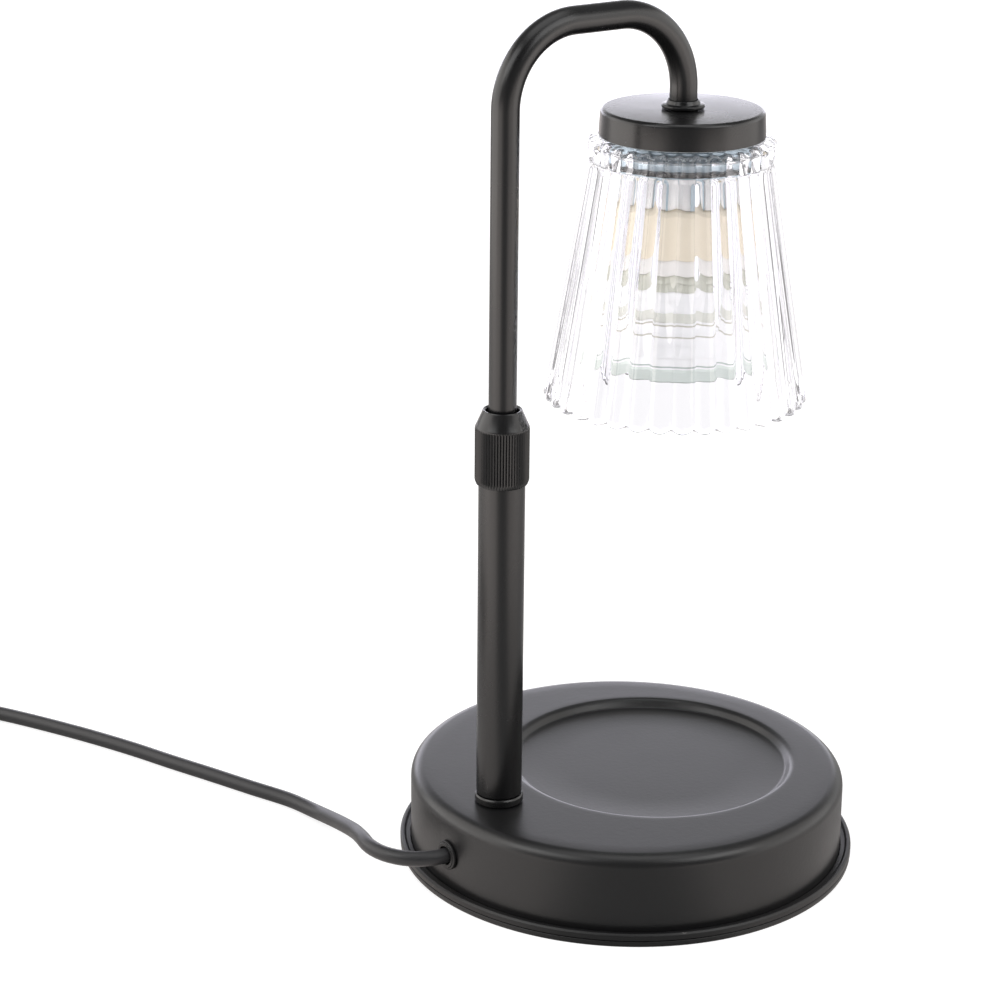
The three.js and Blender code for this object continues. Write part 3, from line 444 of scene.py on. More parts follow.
# %% Make the flexible and moulded finishes
pvc_sheath = clouded_finish(
    "extruded_pvc_sheath", {"Base Color": srgb("#28282a"), "IOR": 1.5, "Specular IOR Level": 0.45},
    shine=(14, 3.0, 0.34, 0.52), grain=(0.7, 2.0, 0.25, 0.04),
)
moulded_pvc = clouded_finish(
    "moulded_soft_pvc",
    {"Base Color": srgb("#1f1f21"), "Roughness": 0.42, "IOR": 1.5, "Specular IOR Level": 0.4},
    grain=(0.6, 2.0, 0.3, 0.05),
)

# Scuffs show where a noise squeezed in height peaks, so they run along the ring as rubbing marks do
moulded_rubber, tree, shade, where = new_material("moulded_rubber")
stretch = add_node(tree, "Mapping", {"Scale": (1.0, 1.0, 4.0)}, {"Vector": where})
rubbing = add_node(tree, "TexNoise", {"Scale": per(9), "Detail": 9.0, "Roughness": 0.72}, {"Vector": stretch})
scuffs = add_node(tree, "MapRange", {"From Min": 0.66, "From Max": 0.74}, {"Value": rubbing})
tone = add_node(tree, "Mix", {
    "data_type": "RGBA", "A": srgb("#151516"), "B": srgb("#8a8785"),
}, {"Factor": scuffs})
grain = add_node(tree, "TexNoise", {"Scale": per(0.5), "Detail": 2.0}, {"Vector": where})
bump = add_node(tree, "Bump", {"Strength": 0.3, "Distance": 0.05 * MM}, {"Height": grain})
set_node(tree, shade, {"Roughness": 0.42, "IOR": 1.52, "Specular IOR Level": 0.38},
         {"Base Color": tone, "Normal": bump})

# The mould of the dimmer was eroded by sparks, which leaves pits about 0.6 mm apart
spark_abs, tree, shade, where = new_material("spark_textured_abs")
pits = add_node(tree, "TexVoronoi", {"Scale": per(0.6)}, {"Vector": where})
bump = add_node(tree, "Bump", {"Strength": 0.35, "Distance": 0.08 * MM}, {"Height": pits})
set_node(tree, shade,
         {"Base Color": srgb("#242426"), "Roughness": 0.48, "IOR": 1.53, "Specular IOR Level": 0.45},
         {"Normal": bump})

# The strap's threads cross at right angles, 0.8 mm apart, which is coarser than real to show
woven_nylon, tree, shade, where = new_material("woven_nylon_strap")
warp, weft = [
    add_node(tree, "TexWave", {"bands_direction": way, "Scale": per(0.8) / math.tau}, {"Vector": where})
    for way in "XY"
]
threads = add_node(tree, "Math", {"operation": "MULTIPLY"}, {0: warp.outputs["Fac"], 1: weft.outputs["Fac"]})
bump = add_node(tree, "Bump", {"Strength": 0.6, "Distance": 0.2 * MM}, {"Height": threads})
set_node(tree, shade, {"Base Color": srgb("#232325"), "Roughness": 0.8, "Sheen Weight": 0.3},
         {"Normal": bump})
print("flexible finishes:", pvc_sheath.name, moulded_rubber.name, spark_abs.name, woven_nylon.name)

# %% [markdown]
# The two lengths of flex take over from the model's cord pieces. The tie is a strap with
# rounded corners round the whole bundle, made by skinning a section that goes round it.

# %% Put the flex and its strap in the scene
mains_lead = add_piece(lead_mesh, pvc_sheath, "base", ["cord_lead"])
wound_flex = add_piece(wound_mesh, pvc_sheath, "base", ["cord_link", "cord_coil", "cord_tail"])

STRAP, STRAP_WIDTH, STRAP_CORNER = 0.7, 6, 2.2
slack = FLEX_RADIUS + 0.3
near, far = COIL_INNER - slack, COIL_INNER + COIL_PITCH * COIL_TURNS / 2 + slack
low, high = COIL_CENTRE[2] - slack, COIL_CENTRE[2] + COIL_PITCH + slack
strap_inside = [(r, z, STRAP_CORNER) for r, z in ((near, low), (far, low), (far, high), (near, high))]
middle = Vector(((near + far) / 2, (low + high) / 2))
strap_loops = []
for across, height in rounded(strap_inside, cyclic=True, steps=6):
    out = (Vector((across, height)) - middle).normalized() * STRAP
    strap_loops.append([
        Vector((COIL_CENTRE[0] + side * STRAP_WIDTH / 2, COIL_CENTRE[1] - across - out.x * thick,
                height + out.y * thick)) * MM
        for side, thick in ((-1, 0), (1, 0), (1, 1), (-1, 1))
    ])
strap = add_piece(skinned("flex_strap", strap_loops, closed=True), woven_nylon, "base",
                  ["cord_tie"])

# %% [markdown]
# ## Powder coat
# The base, post, arm and cap are steel with a black powder coat. Baked powder flows into a satin
# skin with a very slight orange peel and a fine grain, so highlights on it are wide and soft and
# their edges are a little broken. Thin dust and handling change the gloss more than the colour.

# %% Make the powder coat
def powder_coat(name, colour, roughness, peel_mm, depth_mm):
    """Black polyester powder on steel: colour, gloss, and the size and depth of its orange peel."""
    material, tree, shade, where = new_material(name)
    handled = add_node(tree, "TexNoise", {"Scale": per(38), "Detail": 4.0}, {"Vector": where})
    gloss = add_node(tree, "MapRange", {
        "From Min": 0.3, "From Max": 0.7, "To Min": roughness - 0.03, "To Max": roughness + 0.04,
    }, {"Value": handled})
    peel = add_node(tree, "TexNoise", {"Scale": per(peel_mm), "Detail": 2.0}, {"Vector": where})
    grain = add_node(tree, "TexNoise", {"Scale": per(0.45), "Detail": 1.0}, {"Vector": where})
    waves = add_node(tree, "Bump", {"Strength": 0.5, "Distance": depth_mm * MM}, {"Height": peel})
    bump = add_node(tree, "Bump", {"Strength": 0.4, "Distance": 0.02 * MM},
                    {"Height": grain, "Normal": waves})
    set_node(tree, shade, {"Base Color": srgb(colour), "IOR": 1.5}, {"Roughness": gloss, "Normal": bump})
    return material


coated_shell = powder_coat("powder_coated_drawn_steel", "#141415", 0.33, 1.6, 0.05)
coated_tube = powder_coat("powder_coated_steel_tube", "#121213", 0.27, 1.1, 0.02)
print("powder coats:", coated_shell.name, coated_tube.name)

# %% [markdown]
# ## The base
# The base is drawn from one sheet, and the shallow dish for the candle is pressed off centre, to
# leave room for the post. Circles can be skinned even when their centres differ, so the flat top
# is simply the band between the edge of the base and the edge of the dish.

# %% Draw the base shell
SHEET = 1.2
POST_X, DISH_X, SHADE_X = -50, 9.6, 15
TOP_Z, DISH_Z = 27.9, 25.4
SHELL_SIDES = 192

outside = rounded([
    (67.8, 1.55), (71.4, 1.55, 0.3), (71.4, 2.75, 0.3), (69, 2.75, 0.8), (69, TOP_Z, 7), (60.5, TOP_Z),
], steps=9)
dish = rounded([(48.2, TOP_Z), (45.3, TOP_Z, 2.6), (43.3, DISH_Z + 0.1, 1.3), (42.2, DISH_Z)], steps=7)
dish += [(r, DISH_Z) for r in (28, 14, 0)]
dish_under = [(r + (1.1 if r > 28 else 0), z - SHEET) for r, z in reversed(dish)]
inside = rounded([(61, 26.7), (67.8, 26.7, 5.8), (67.8, 1.55)], steps=6)
shell_loops = [circle(r, z, (0, 0), SHELL_SIDES) for r, z in outside]
shell_loops += [circle(r, z, (DISH_X, 0), SHELL_SIDES) for r, z in dish + dish_under]
shell_loops += [circle(r, z, (0, 0), SHELL_SIDES) for r, z in inside[:-1]]
shell_mesh = skinned("base_shell_drawn", shell_loops, closed=True)


def turned_on_x(name, outline, at, sides=48, closed=False, facing=-1):
    """A round piece about a line along X. The outline is (radius, distance out on the facing side)."""
    mesh = turned(name, outline, sides=sides, closed=closed)
    turn = Matrix.Rotation(math.radians(90 * facing), 4, "Y")
    mesh.transform(Matrix.Translation(Vector(at) * MM) @ turn)
    return mesh


flex_hole = turned_on_x("flex_hole", [(0, -8), (4.1, -8), (4.1, 4), (0, 4)], (-69, 0, GROMMET_Z))
rod_hole = turned("rod_hole", [(0, 22), (4.3, 22), (4.3, 30), (0, 30)], (POST_X, 0), 32)
shell_mesh = carved(shell_mesh, flex_hole, rod_hole)
add_piece(shell_mesh, coated_shell, "base", ["base_shell"])

# %% [markdown]
# A rubber ring grips the turned-out rim. Its outside has two soft beads with a parting seam
# between them, and above it a dark gap parts it from the wall. The grommet is the same rubber:
# a stepped collar round the flex, with a flange inside the wall as well.

# %% Fit the foot ring and the grommet
add_turned("foot_ring_moulded", [
    (65, 0, 0.3), (72.3, 0, 0.6), (72.5, 1.75, 0.5), (72.0, 2.0), (72.5, 2.25, 0.5), (72.5, 3.7, 0.5),
    (71.9, 4.3, 0.4), (71.2, 4.3, 0.35), (70.6, 3.5, 0.3), (69.3, 3.5), (69.3, 3.05), (71.7, 3.05),
    (71.7, 1.25), (65, 1.25, 0.3),
], 0, SHELL_SIDES, moulded_rubber, "base", "foot_ring")

grommet_outline = rounded([
    (2.9, 1.3, 0.3), (3.9, 1.3, 0.3), (3.95, 1.0, 0.15), (4.65, 0.9, 0.3), (4.65, 0.25), (3.8, 0.25),
    (3.8, -1.7), (4.65, -1.7), (4.65, -3.1, 0.4), (2.9, -3.1, 0.4),
], cyclic=True, steps=4)
grommet = turned_on_x("grommet_moulded", grommet_outline, (-69, 0, GROMMET_Z), 56, True)
add_piece(grommet, moulded_rubber, "base", ["grommet"])

# %% [markdown]
# ## Post and arm
# The post is a straight tube on a low turned collar. The arm is one tube bent twice on a former,
# which keeps its section round, so an exact path of straights and quarter turns is the best
# description of it. Both are skinned with enough facets that their outline stays smooth.

# %% Stand the post and bend the arm
ARM_TOP, ARM_BEND = 268.1, 24

add_turned("foot_collar_turned", [
    (4.3, 28.2), (7.5, 28.2, 0.35), (7.5, 30.2, 0.4), (7.15, 30.7, 0.2), (4.3, 30.7),
], POST_X, 96, coated_tube, "base", "foot_collar")
add_turned("post_tube_drawn", [
    (6.05, 31.0), (7.05, 31.0, 0.3), (7.05, 133.9, 0.3), (6.05, 133.9),
], POST_X, 96, coated_tube, "base", "post_tube")


def arm_path(foot, tip, step_degrees=3):
    """The arm's centreline in metres: leg, bend, short run, bend, tip."""
    bend_z = ARM_TOP - ARM_BEND
    points = [(POST_X, foot), (POST_X, foot + (bend_z - foot) / 2)]
    quarter = [math.radians(angle) for angle in range(0, 91, step_degrees)]
    points += [(POST_X + ARM_BEND * (1 - math.cos(a)), bend_z + ARM_BEND * math.sin(a)) for a in quarter]
    points += [(SHADE_X - ARM_BEND * (1 - math.sin(a)), bend_z + ARM_BEND * math.cos(a)) for a in quarter]
    points.append((SHADE_X, tip))
    return [Vector((x, 0, z)) * MM for x, z in points]


add_piece(tube("arm_tube_bent", arm_path(61, 226.1), 4.2, 56, 3.4), coated_tube, "arm",
          ["arm_tube"])

# %% [markdown]
# Two thin cores run inside as one lead. The length in the post rides on no body: it is a
# straight tube up from the base, with its place baked into its mesh.

# %% Run the inner wires
WIRE_RADIUS, POST_WIRES_FROM, POST_WIRES_LONG = 1.9, 15.8, 44.9

add_piece(tube("arm_wires", arm_path(61.2, 221.4, 6), WIRE_RADIUS, 12), pvc_sheath, "arm",
          ["arm_lead"])
post_wires_path = [Vector((POST_X, 0, POST_WIRES_FROM + POST_WIRES_LONG * k / 12)) * MM for k in range(13)]
post_wires = add_piece(tube("post_wires", post_wires_path, WIRE_RADIUS, 12), pvc_sheath, None,
                       ["post_lead"])
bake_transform(post_wires)

# %% [markdown]
# ## Turned forms with ribs, by Geometry Nodes
# The knurled lock collar, the fluted glass, the reflector and the dimmer's wheel all follow one
# rule: a half outline is turned about an upright line, and the radius dips between ribs. One tree
# holds that rule. It lays a grid whose rows are the outline's points and whose columns go round,
# looks each point up in the outline, and bends the grid round the axis. Each outline point
# carries a share of the rib depth, so a bore or a plain cone beside the ribs stays round, and a
# share of the rim lift, which raises the grooves at an edge to make scallops.

# %% Build the ribbed turning tree
def ribbed_turning_tree():
    tree = bpy.data.node_groups.new("ribbed_turning", "GeometryNodeTree")
    face = tree.interface
    face.new_socket("Outline", in_out="INPUT", socket_type="NodeSocketGeometry")
    for name, kind, value in (
        ("Ribs", "Int", 36), ("Steps per rib", "Int", 8), ("Rib depth", "Float", 0.001),
        ("Rim lift", "Float", 0.0),
        ("Roundness", "Float", 1.0), ("Axis", "Vector", (0, 0, 0)), ("Finish", "Material", None),
    ):
        socket = face.new_socket(name, in_out="INPUT", socket_type="NodeSocket" + kind)
        if value is not None:
            socket.default_value = value
    face.new_socket("Geometry", in_out="OUTPUT", socket_type="NodeSocketGeometry")

    # Each row is one sum: its result, what it does, and the results or numbers that it works on
    sums = (
        ("around", "MULTIPLY", "Ribs", "Steps per rib"), ("columns", "ADD", "around", 1),
        ("rows", "ADD", "count", 1),
        ("inside", "ADD", "index", 0.5), ("along", "DIVIDE", "inside", "columns"), ("lap", "FLOOR", "along"),
        ("row", "MODULO", "lap", "count"), ("past", "MODULO", "inside", "columns"),
        ("column", "FLOOR", "past"),
        ("rib", "DIVIDE", "column", "Steps per rib"), ("phase", "FRACT", "rib"),
        ("half turn", "MULTIPLY", "phase", math.pi), ("arch", "SINE", "half turn"),
        ("lobe", "SUBTRACT", "arch", 1),
        ("double", "MULTIPLY", "phase", 2), ("swing", "SUBTRACT", "double", 1), ("rise", "ABSOLUTE", "swing"),
        ("wedge", "MULTIPLY", "rise", -1),
        ("sunk", "MULTIPLY", "dip", "rib_share"), ("inward", "MULTIPLY", "sunk", "Rib depth"),
        ("radius", "ADD", "outline x", "inward"),
        ("raised", "MULTIPLY", "dip", "lift_share"), ("downward", "MULTIPLY", "raised", "Rim lift"),
        ("height", "SUBTRACT", "outline z", "downward"),
        ("share", "DIVIDE", "column", "around"), ("angle", "MULTIPLY", "share", math.tau),
        ("cosine", "COSINE", "angle"), ("sine", "SINE", "angle"),
        ("x", "MULTIPLY", "radius", "cosine"), ("y", "MULTIPLY", "radius", "sine"),
    )
    given = add_node(tree, "NodeGroupInput").outputs
    found = {name: given[name] for name in ("Ribs", "Steps per rib", "Rib depth", "Rim lift")}
    for result, operation, *values in sums:
        numbers = {slot: value for slot, value in enumerate(values) if not isinstance(value, str)}
        found[result] = add_node(tree, "Math", {"operation": operation, **numbers})

    found["count"] = add_node(tree, "GeometryNodeAttributeDomainSize", None, {"Geometry": given["Outline"]})
    found["index"] = add_node(tree, "GeometryNodeInputIndex")
    grid = add_node(tree, "GeometryNodeMeshGrid", {"Size X": 1.0, "Size Y": 1.0},
                    {"Vertices X": found["rows"], "Vertices Y": found["columns"]})
    position = add_node(tree, "GeometryNodeInputPosition")
    place = add_node(tree, "GeometryNodeSampleIndex", {"data_type": "FLOAT_VECTOR"},
                     {"Geometry": given["Outline"], "Value": position, "Index": found["row"]})
    outline = add_node(tree, "SeparateXYZ", None, {"Vector": place}).outputs
    found["outline x"], found["outline z"] = outline["X"], outline["Z"]
    for name in ("rib_share", "lift_share"):
        stored = add_node(tree, "GeometryNodeInputNamedAttribute", {"data_type": "FLOAT", "Name": name})
        found[name] = add_node(tree, "GeometryNodeSampleIndex", {"data_type": "FLOAT"},
                               {"Geometry": given["Outline"], "Value": stored, "Index": found["row"]})
    found["dip"] = add_node(tree, "Mix", {"data_type": "FLOAT"},
                            {"Factor": given["Roundness"], "A": found["wedge"], "B": found["lobe"]})
    for result, _, *values in sums:
        set_node(tree, found[result], None, {
            slot: found[value] for slot, value in enumerate(values) if isinstance(value, str)
        })

    bent = add_node(tree, "CombineXYZ", None, {"X": found["x"], "Y": found["y"], "Z": found["height"]})
    moved = add_node(tree, "VectorMath", {"operation": "ADD"}, {0: bent, 1: given["Axis"]})
    formed = add_node(tree, "GeometryNodeSetPosition", None, {"Geometry": grid, "Position": moved})
    welded = add_node(tree, "GeometryNodeMergeByDistance", {"Distance": 1e-6}, {"Geometry": formed})
    real = add_node(tree, "GeometryNodeRealizeInstances", None, {"Geometry": welded})
    done = add_node(tree, "GeometryNodeSetMaterial", None, {"Geometry": real, "Material": given["Finish"]})
    add_node(tree, "NodeGroupOutput", None, {"Geometry": done})
    return tree


ribbed_turning = ribbed_turning_tree()
print("ribbed turning tree:", len(ribbed_turning.nodes), "nodes")

# %% [markdown]
# The tree runs on a bare outline and its result is taken as a plain mesh. Doubles are merged
# and the faces are turned outwards, so that glass bends light the right way.

# %% Run the tree on an outline
def ribbed(name, outline, ribs, steps, depth, roundness, x, finish, crease=40, lift=0.0, y=0.0):
    """A ribbed turning about the upright line at x, y, from (radius, height, rib share, lift share).

    Lengths are in mm, and a share that is left out is nothing.
    """
    bare = bpy.data.meshes.new(name + "_outline")
    bare.from_pydata([Vector((point[0], 0, point[1])) * MM for point in outline], [], [])
    for number, stored in ((2, "rib_share"), (3, "lift_share")):
        values = bare.attributes.new(stored, "FLOAT", "POINT")
        values.data.foreach_set("value", [point[number] if len(point) > number else 0.0 for point in outline])
    holder = bpy.data.objects.new(name + "_outline", bare)
    bpy.context.scene.collection.objects.link(holder)
    modifier = holder.modifiers.new("ribbed_turning", "NODES")
    modifier.node_group = ribbed_turning
    sockets = {item.name: item.identifier for item in ribbed_turning.interface.items_tree}
    for key, value in (
        ("Ribs", ribs), ("Steps per rib", steps), ("Rib depth", depth * MM), ("Rim lift", lift * MM),
        ("Roundness", float(roundness)), ("Axis", [x * MM, y * MM, 0.0]), ("Finish", finish),
    ):
        modifier[sockets[key]] = value
    mesh = with_modifiers_baked(holder)
    bpy.data.objects.remove(holder)
    mesh.name = name
    form = bmesh.new()
    form.from_mesh(mesh)
    bmesh.ops.remove_doubles(form, verts=form.verts, dist=1e-6)
    return smoothed(written_outwards(form, mesh), crease)


# %% [markdown]
# ## The lock collar
# Straight knurling about 0.9 mm apart gives the fingers their grip. Above it a plain cone closes
# the collet on the arm, with a thin edge round the mouth that catches the light.

# %% Knurl the lock collar
KNURLS, KNURL_DEPTH = 56, 0.45

collar_profile = [
    (7.35, 132), (7.6, 132), (7.75, 132.15, 0.1), (8.1, 133.1, 0.7), (8.2, 133.5, 1), (8.2, 149.2, 1),
    (8.18, 149.5, 0.4), (8.15, 149.75), (8.05, 150.05), (7.85, 150.4), (6.0, 154.6), (5.95, 154.9),
    (5.8, 155.1), (5.45, 155.1), (5.3, 155.0), (5.0, 154.5), (5.5, 151.4), (6.6, 144.4), (6.6, 135.9),
    (7.35, 135.9),
]
lock_collar = ribbed("lock_collar_knurled", collar_profile, KNURLS, 4, KNURL_DEPTH, 0.5, POST_X,
                     coated_tube, 50)
add_piece(lock_collar, None, "collar", ["lock_collar"])

# %% [markdown]
# ## Metal, ceramic and bulb finishes
# What holds the glass is zinc plated steel, a bluish grey with soft reflections. The collet, the
# terminal screws and the plug's blades are brass. Where the powder doesn't reach, inside the cap,
# steel keeps its matt primer. That primer is painted a near white blue grey, lighter than primer
# is, as painted light to offset the shade inside the cap.

# %% Make the metal and primer finishes
zinc_steel = clouded_finish("zinc_plated_steel", {"Metallic": 1.0},
                            tones=(5, 4.0, "#96a8b1", "#c4d0d6"), shine=(5, 4.0, 0.26, 0.42))
turned_brass = clouded_finish("turned_brass", {"Metallic": 1.0, "Roughness": 0.3},
                              tones=(3, 4.0, "#b99b58", "#cdb277"))
# The primer's near white is lighter than real primer: painted light against the shade inside the cap
primer_with_painted_light = clouded_finish("zinc_phosphate_primer_painted_light", {"Roughness": 0.7},
                             tones=(6, 4.0, "#dfe9ed", "#f0f6f8"))
print("metal finishes:", zinc_steel.name, turned_brass.name, primer_with_painted_light.name)

# %% [markdown]
# The lampholder is porcelain under a clear white glaze, whose gloss drifts where the glaze pooled.
# The bulb's base is steatite, a dense ceramic with a dry surface: cream above, and fired paler in
# the band that holds the bowl. The bowl is thin glass with a metal coating inside, so it reads as
# pale, bright facets. Its neck and rim are bare and show the glass itself, a greyish green. Three
# thin dark lines near steps between the rings are painted shade, standing for the shade at the steps.

# %% Make the ceramic and bulb finishes
white_porcelain = clouded_finish("glazed_white_porcelain", {"Base Color": srgb("#fffefc"), "IOR": 1.5},
                                 shine=(7, 2.0, 0.18, 0.32))
bulb_front_glass = clouded_finish("borosilicate_bulb_glass", {
    "Base Color": srgb("#dfeee6"), "Roughness": 0.02, "IOR": 1.47, "Transmission Weight": 1.0,
})

CREAM_FROM, CREAM_TO = 0.1940, 0.1944
steatite, tree, shade, where = new_material("steatite_ceramic")
height = add_node(tree, "SeparateXYZ", None, {"Vector": where}).outputs["Z"]
band = add_node(tree, "MapRange", {"From Min": CREAM_FROM, "From Max": CREAM_TO}, {"Value": height})
fired = add_node(tree, "Mix", {"data_type": "RGBA", "A": srgb("#fbf8f2"), "B": srgb("#f9edd5")},
                 {"Factor": band})
speck = add_node(tree, "TexNoise", {"Scale": per(0.8), "Detail": 5.0}, {"Vector": where})
faint = add_node(tree, "MapRange", {"To Min": 0.94, "To Max": 1.04}, {"Value": speck})
tone = add_node(tree, "HueSaturation", None, {"Color": fired, "Value": faint})
set_node(tree, shade, {"Roughness": 0.55, "IOR": 1.6}, {"Base Color": tone})

# Each band on the bowl is its middle height and half its width in metres, and its colour. The
# three thin dark ones are painted shade near steps between the rings.
BOWL_BANDS = (
    (0.1872, 0.0026, "#cdcec0"), (0.1777, 0.0013, "#dedfd5"), (0.1756, 0.0002, "#c0bcae"),
    (0.1724, 0.0002, "#c4c1b5"), (0.1642, 0.0002, "#b4beb8"), (0.1612, 0.0024, "#dde6df"),
)
coated_bulb_glass, tree, shade, where = new_material("metal_coated_bulb_glass")
height = add_node(tree, "SeparateXYZ", None, {"Vector": where}).outputs["Z"]
film = add_node(tree, "TexNoise", {"Scale": per(9), "Detail": 3.0}, {"Vector": where})
tone = add_node(tree, "Mix", {"data_type": "RGBA", "A": srgb("#f8f9f7"), "B": srgb("#ffffff")},
                {"Factor": film})
for middle_z, half, hue in BOWL_BANDS:
    band = add_node(tree, "Math", {"operation": "COMPARE", 1: middle_z, 2: half}, {0: height})
    tone = add_node(tree, "Mix", {"data_type": "RGBA", "B": srgb(hue)}, {"Factor": band, "A": tone})
set_node(tree, shade, {"Metallic": 0.1, "Roughness": 0.3, "Coat Weight": 0.25, "Coat Roughness": 0.05},
         {"Base Color": tone})
print("ceramic and glass finishes:", white_porcelain.name, steatite.name, coated_bulb_glass.name,
      bulb_front_glass.name)

# %% [markdown]
# ## Shade carrier and bulb
# The spun cap covers a steel cup that the arm is bolted through. A ring screwed on the cup clamps
# the glass by its lip, and a ring of dark rubber round the ring's lower edge shows as a dark line
# under the glass's pillows.
# Below, the bulb's ceramic base and its faceted bowl hang in the open.

# %% Make the shade carrier
shade_cap = add_turned("shade_cap_spun", [
    (4.5, 238), (24.7, 238, 1.4), (25.2, 229.8, 0.35), (24.4, 229.8), (23.9, 237.2, 0.6), (4.5, 237.2),
], SHADE_X, 160, coated_tube, "arm", "shade_cap", steps=9)
# Inward and downward faces of the cap take the primer, whose near white is painted light against the shade
# there
shade_cap.data.materials.append(primer_with_painted_light)
for face in shade_cap.data.polygons:
    outward = Vector((face.center.x - SHADE_X * MM, face.center.y, 0)).normalized()
    face.material_index = int(face.normal.dot(outward) < -0.5 or face.normal.z < -0.5)
add_turned("neck_ring_turned", [
    (4.5, 238.3), (6.5, 238.3, 0.3), (6.5, 239.4, 0.4), (5.3, 239.5, 0.3), (5.05, 240.1), (4.8, 240.7, 0.15),
    (4.5, 240.7),
], SHADE_X, 64, coated_tube, "arm", "neck_ring")

# Slots leave the cup's skirt as springy fingers that grip the lampholder
CUP_SLOTS, SLOT_HALF, SLOT_LOW, SLOT_HIGH = 8, 3.9, 208, 220.4
cup_outline = rounded([
    (4.5, 236.9), (12, 236.9, 0.8), (12, 209, 0.2), (11.4, 209), (11.4, 236.3), (4.5, 236.3),
], cyclic=True)
slots = []
for k in range(CUP_SLOTS):
    angle = math.tau * (k + 0.5) / CUP_SLOTS
    corners = [(side * SLOT_HALF, z) for side,
               z in ((-1, SLOT_LOW), (1, SLOT_LOW), (1, SLOT_HIGH), (-1, SLOT_HIGH))]
    slots.append(skinned("cup_slot", [[Vector((x, y, z)) * MM for y, z in corners] for x in (9, 14)]))
    slots[-1].transform(Matrix.Translation((SHADE_X * MM, 0, 0)) @ Matrix.Rotation(angle, 4, "Z"))
cup_mesh = carved(turned("holder_cup_drawn", cup_outline, (SHADE_X, 0), 72, True), *slots)
add_piece(cup_mesh, zinc_steel, "arm", ["holder_cup"])

add_turned("shade_ring_pressed", [
    (12.3, 226.6), (21.5, 226.6, 0.4), (21.5, 222.6, 0.3), (19.9, 222.6, 0.3), (19.9, 225.0),
    (14.1, 225.0), (14.1, 221.0, 0.3), (12.3, 221.0),
], SHADE_X, 96, zinc_steel, "arm", "shade_ring")
# A ring of dark rubber round the shade ring's lower edge, which shows as a dark line under the pillows
add_turned("shade_gasket_moulded", [
    (21.5, 223.9, 0.2), (23.6, 223.5, 0.2), (23.6, 222.9, 0.2), (21.5, 222.8, 0.2),
], SHADE_X, 96, moulded_rubber, "arm")

# %% [markdown]
# The bulb's bowl is a parabola with nine rings of flat facets. Each ring ends in a small step, so
# the rings stay apart in the light. Its front is a flat disc, and a small capsule hangs inside.

# %% Make the bulb
add_turned("bulb_base_pressed", [
    (0, 189.2), (13.7, 189.2, 0.4), (13.7, 194.2, 0.2), (14.3, 194.2, 0.4), (14.3, 207.6, 0.5),
    (13.0, 208.7, 0.4),
    (0, 208.7),
], SHADE_X, 72, steatite, "arm", "bulb_base", cyclic=False)

BOWL_NECK_R, BOWL_RIM_R, BOWL_TOP_Z, BOWL_DEPTH = 12.2, 24.7, 188.9, 26
BOWL_RINGS, BOWL_STEP, BOWL_WALL = 9, 0.3, 1.3
FACETS, FACET_DEPTH = 24, 0.5
bowl = []
for ring in range(BOWL_RINGS + 1):
    r = BOWL_NECK_R + (BOWL_RIM_R - BOWL_NECK_R) * ring / BOWL_RINGS
    z = BOWL_TOP_Z - BOWL_DEPTH * (r * r - BOWL_NECK_R ** 2) / (BOWL_RIM_R ** 2 - BOWL_NECK_R ** 2)
    at_end = ring in (0, BOWL_RINGS)
    bowl.append((r, z, 0.0 if at_end else 1.0))
    if not at_end:
        bowl.append((r - BOWL_STEP, z - 0.05, 1.0))
inner_bowl = [(r - BOWL_WALL, z - (BOWL_WALL if i == 0 else 0), 0) for i, (r, z, _) in enumerate(bowl)]
reflector_profile = [
    (4.9, 188.9, 0), *bowl, (24.7, 162.5, 0), (24.7, 159.9, 0), (24.3, 159.5, 0), (23.4, 159.5, 0),
    *reversed(inner_bowl), (4.9, 187.6, 0),
]
reflector = ribbed("reflector_faceted", reflector_profile, FACETS, 2, FACET_DEPTH, 0, SHADE_X,
                   coated_bulb_glass, 5)
add_piece(reflector, None, "arm", ["bulb_reflector"])
add_turned("bulb_front_pressed", [
    (0, 160.15), (23.1, 160.15, 0.3), (23.1, 161.75, 0.3), (0, 161.75),
], SHADE_X, 96, bulb_front_glass, "arm", "bulb_lens", cyclic=False)
add_turned("bulb_capsule_blown", [
    (0, 168.9), (4.6, 169.6, 3.2), (4.6, 188.9), (0, 188.9),
], SHADE_X, 40, bulb_front_glass, "arm", "bulb_capsule", cyclic=False)

# %% [markdown]
# ## The glass shade
# The shade is pressed in a mould: thirty-six rounded flutes run down a straight-sided cone, swell
# into a row of pillows at the neck and end in a scalloped rim. Its inside is a plain cone. The
# light that a flute bends depends on the true wall, so the shade has both faces and its thickness.

# %% Press the glass
# Shadow rays pass the clear glass. Where a ray has made more than three glossy bounces in the
# glass, it glows a faint grey: painted light that stands in for light trapped in its wall
CAUGHT_AFTER, CAUGHT_GLOW = 3.5, 0.15
soda_glass, tree, shade, _ = new_material("pressed_soda_lime_glass")
ray = add_node(tree, "LightPath").outputs
caught = add_node(tree, "Math", {"operation": "GREATER_THAN", 1: CAUGHT_AFTER}, {0: ray["Glossy Depth"]})
glow = add_node(tree, "Math", {"operation": "MULTIPLY", 1: CAUGHT_GLOW}, {0: caught})
set_node(tree, shade, {
    "Base Color": srgb("#fcfbfe"), "Roughness": 0.0, "IOR": 1.5, "Transmission Weight": 1.0,
    "Emission Color": srgb("#f4f3f6"),
}, {"Emission Strength": glow})
clear = add_node(tree, "BsdfTransparent", {"Color": srgb("#f4f6f6")})
lit = add_node(tree, "MixShader", None, {0: ray["Is Shadow Ray"], 1: shade, 2: clear})
set_node(tree, tree.nodes["Material Output"], None, {"Surface": lit})

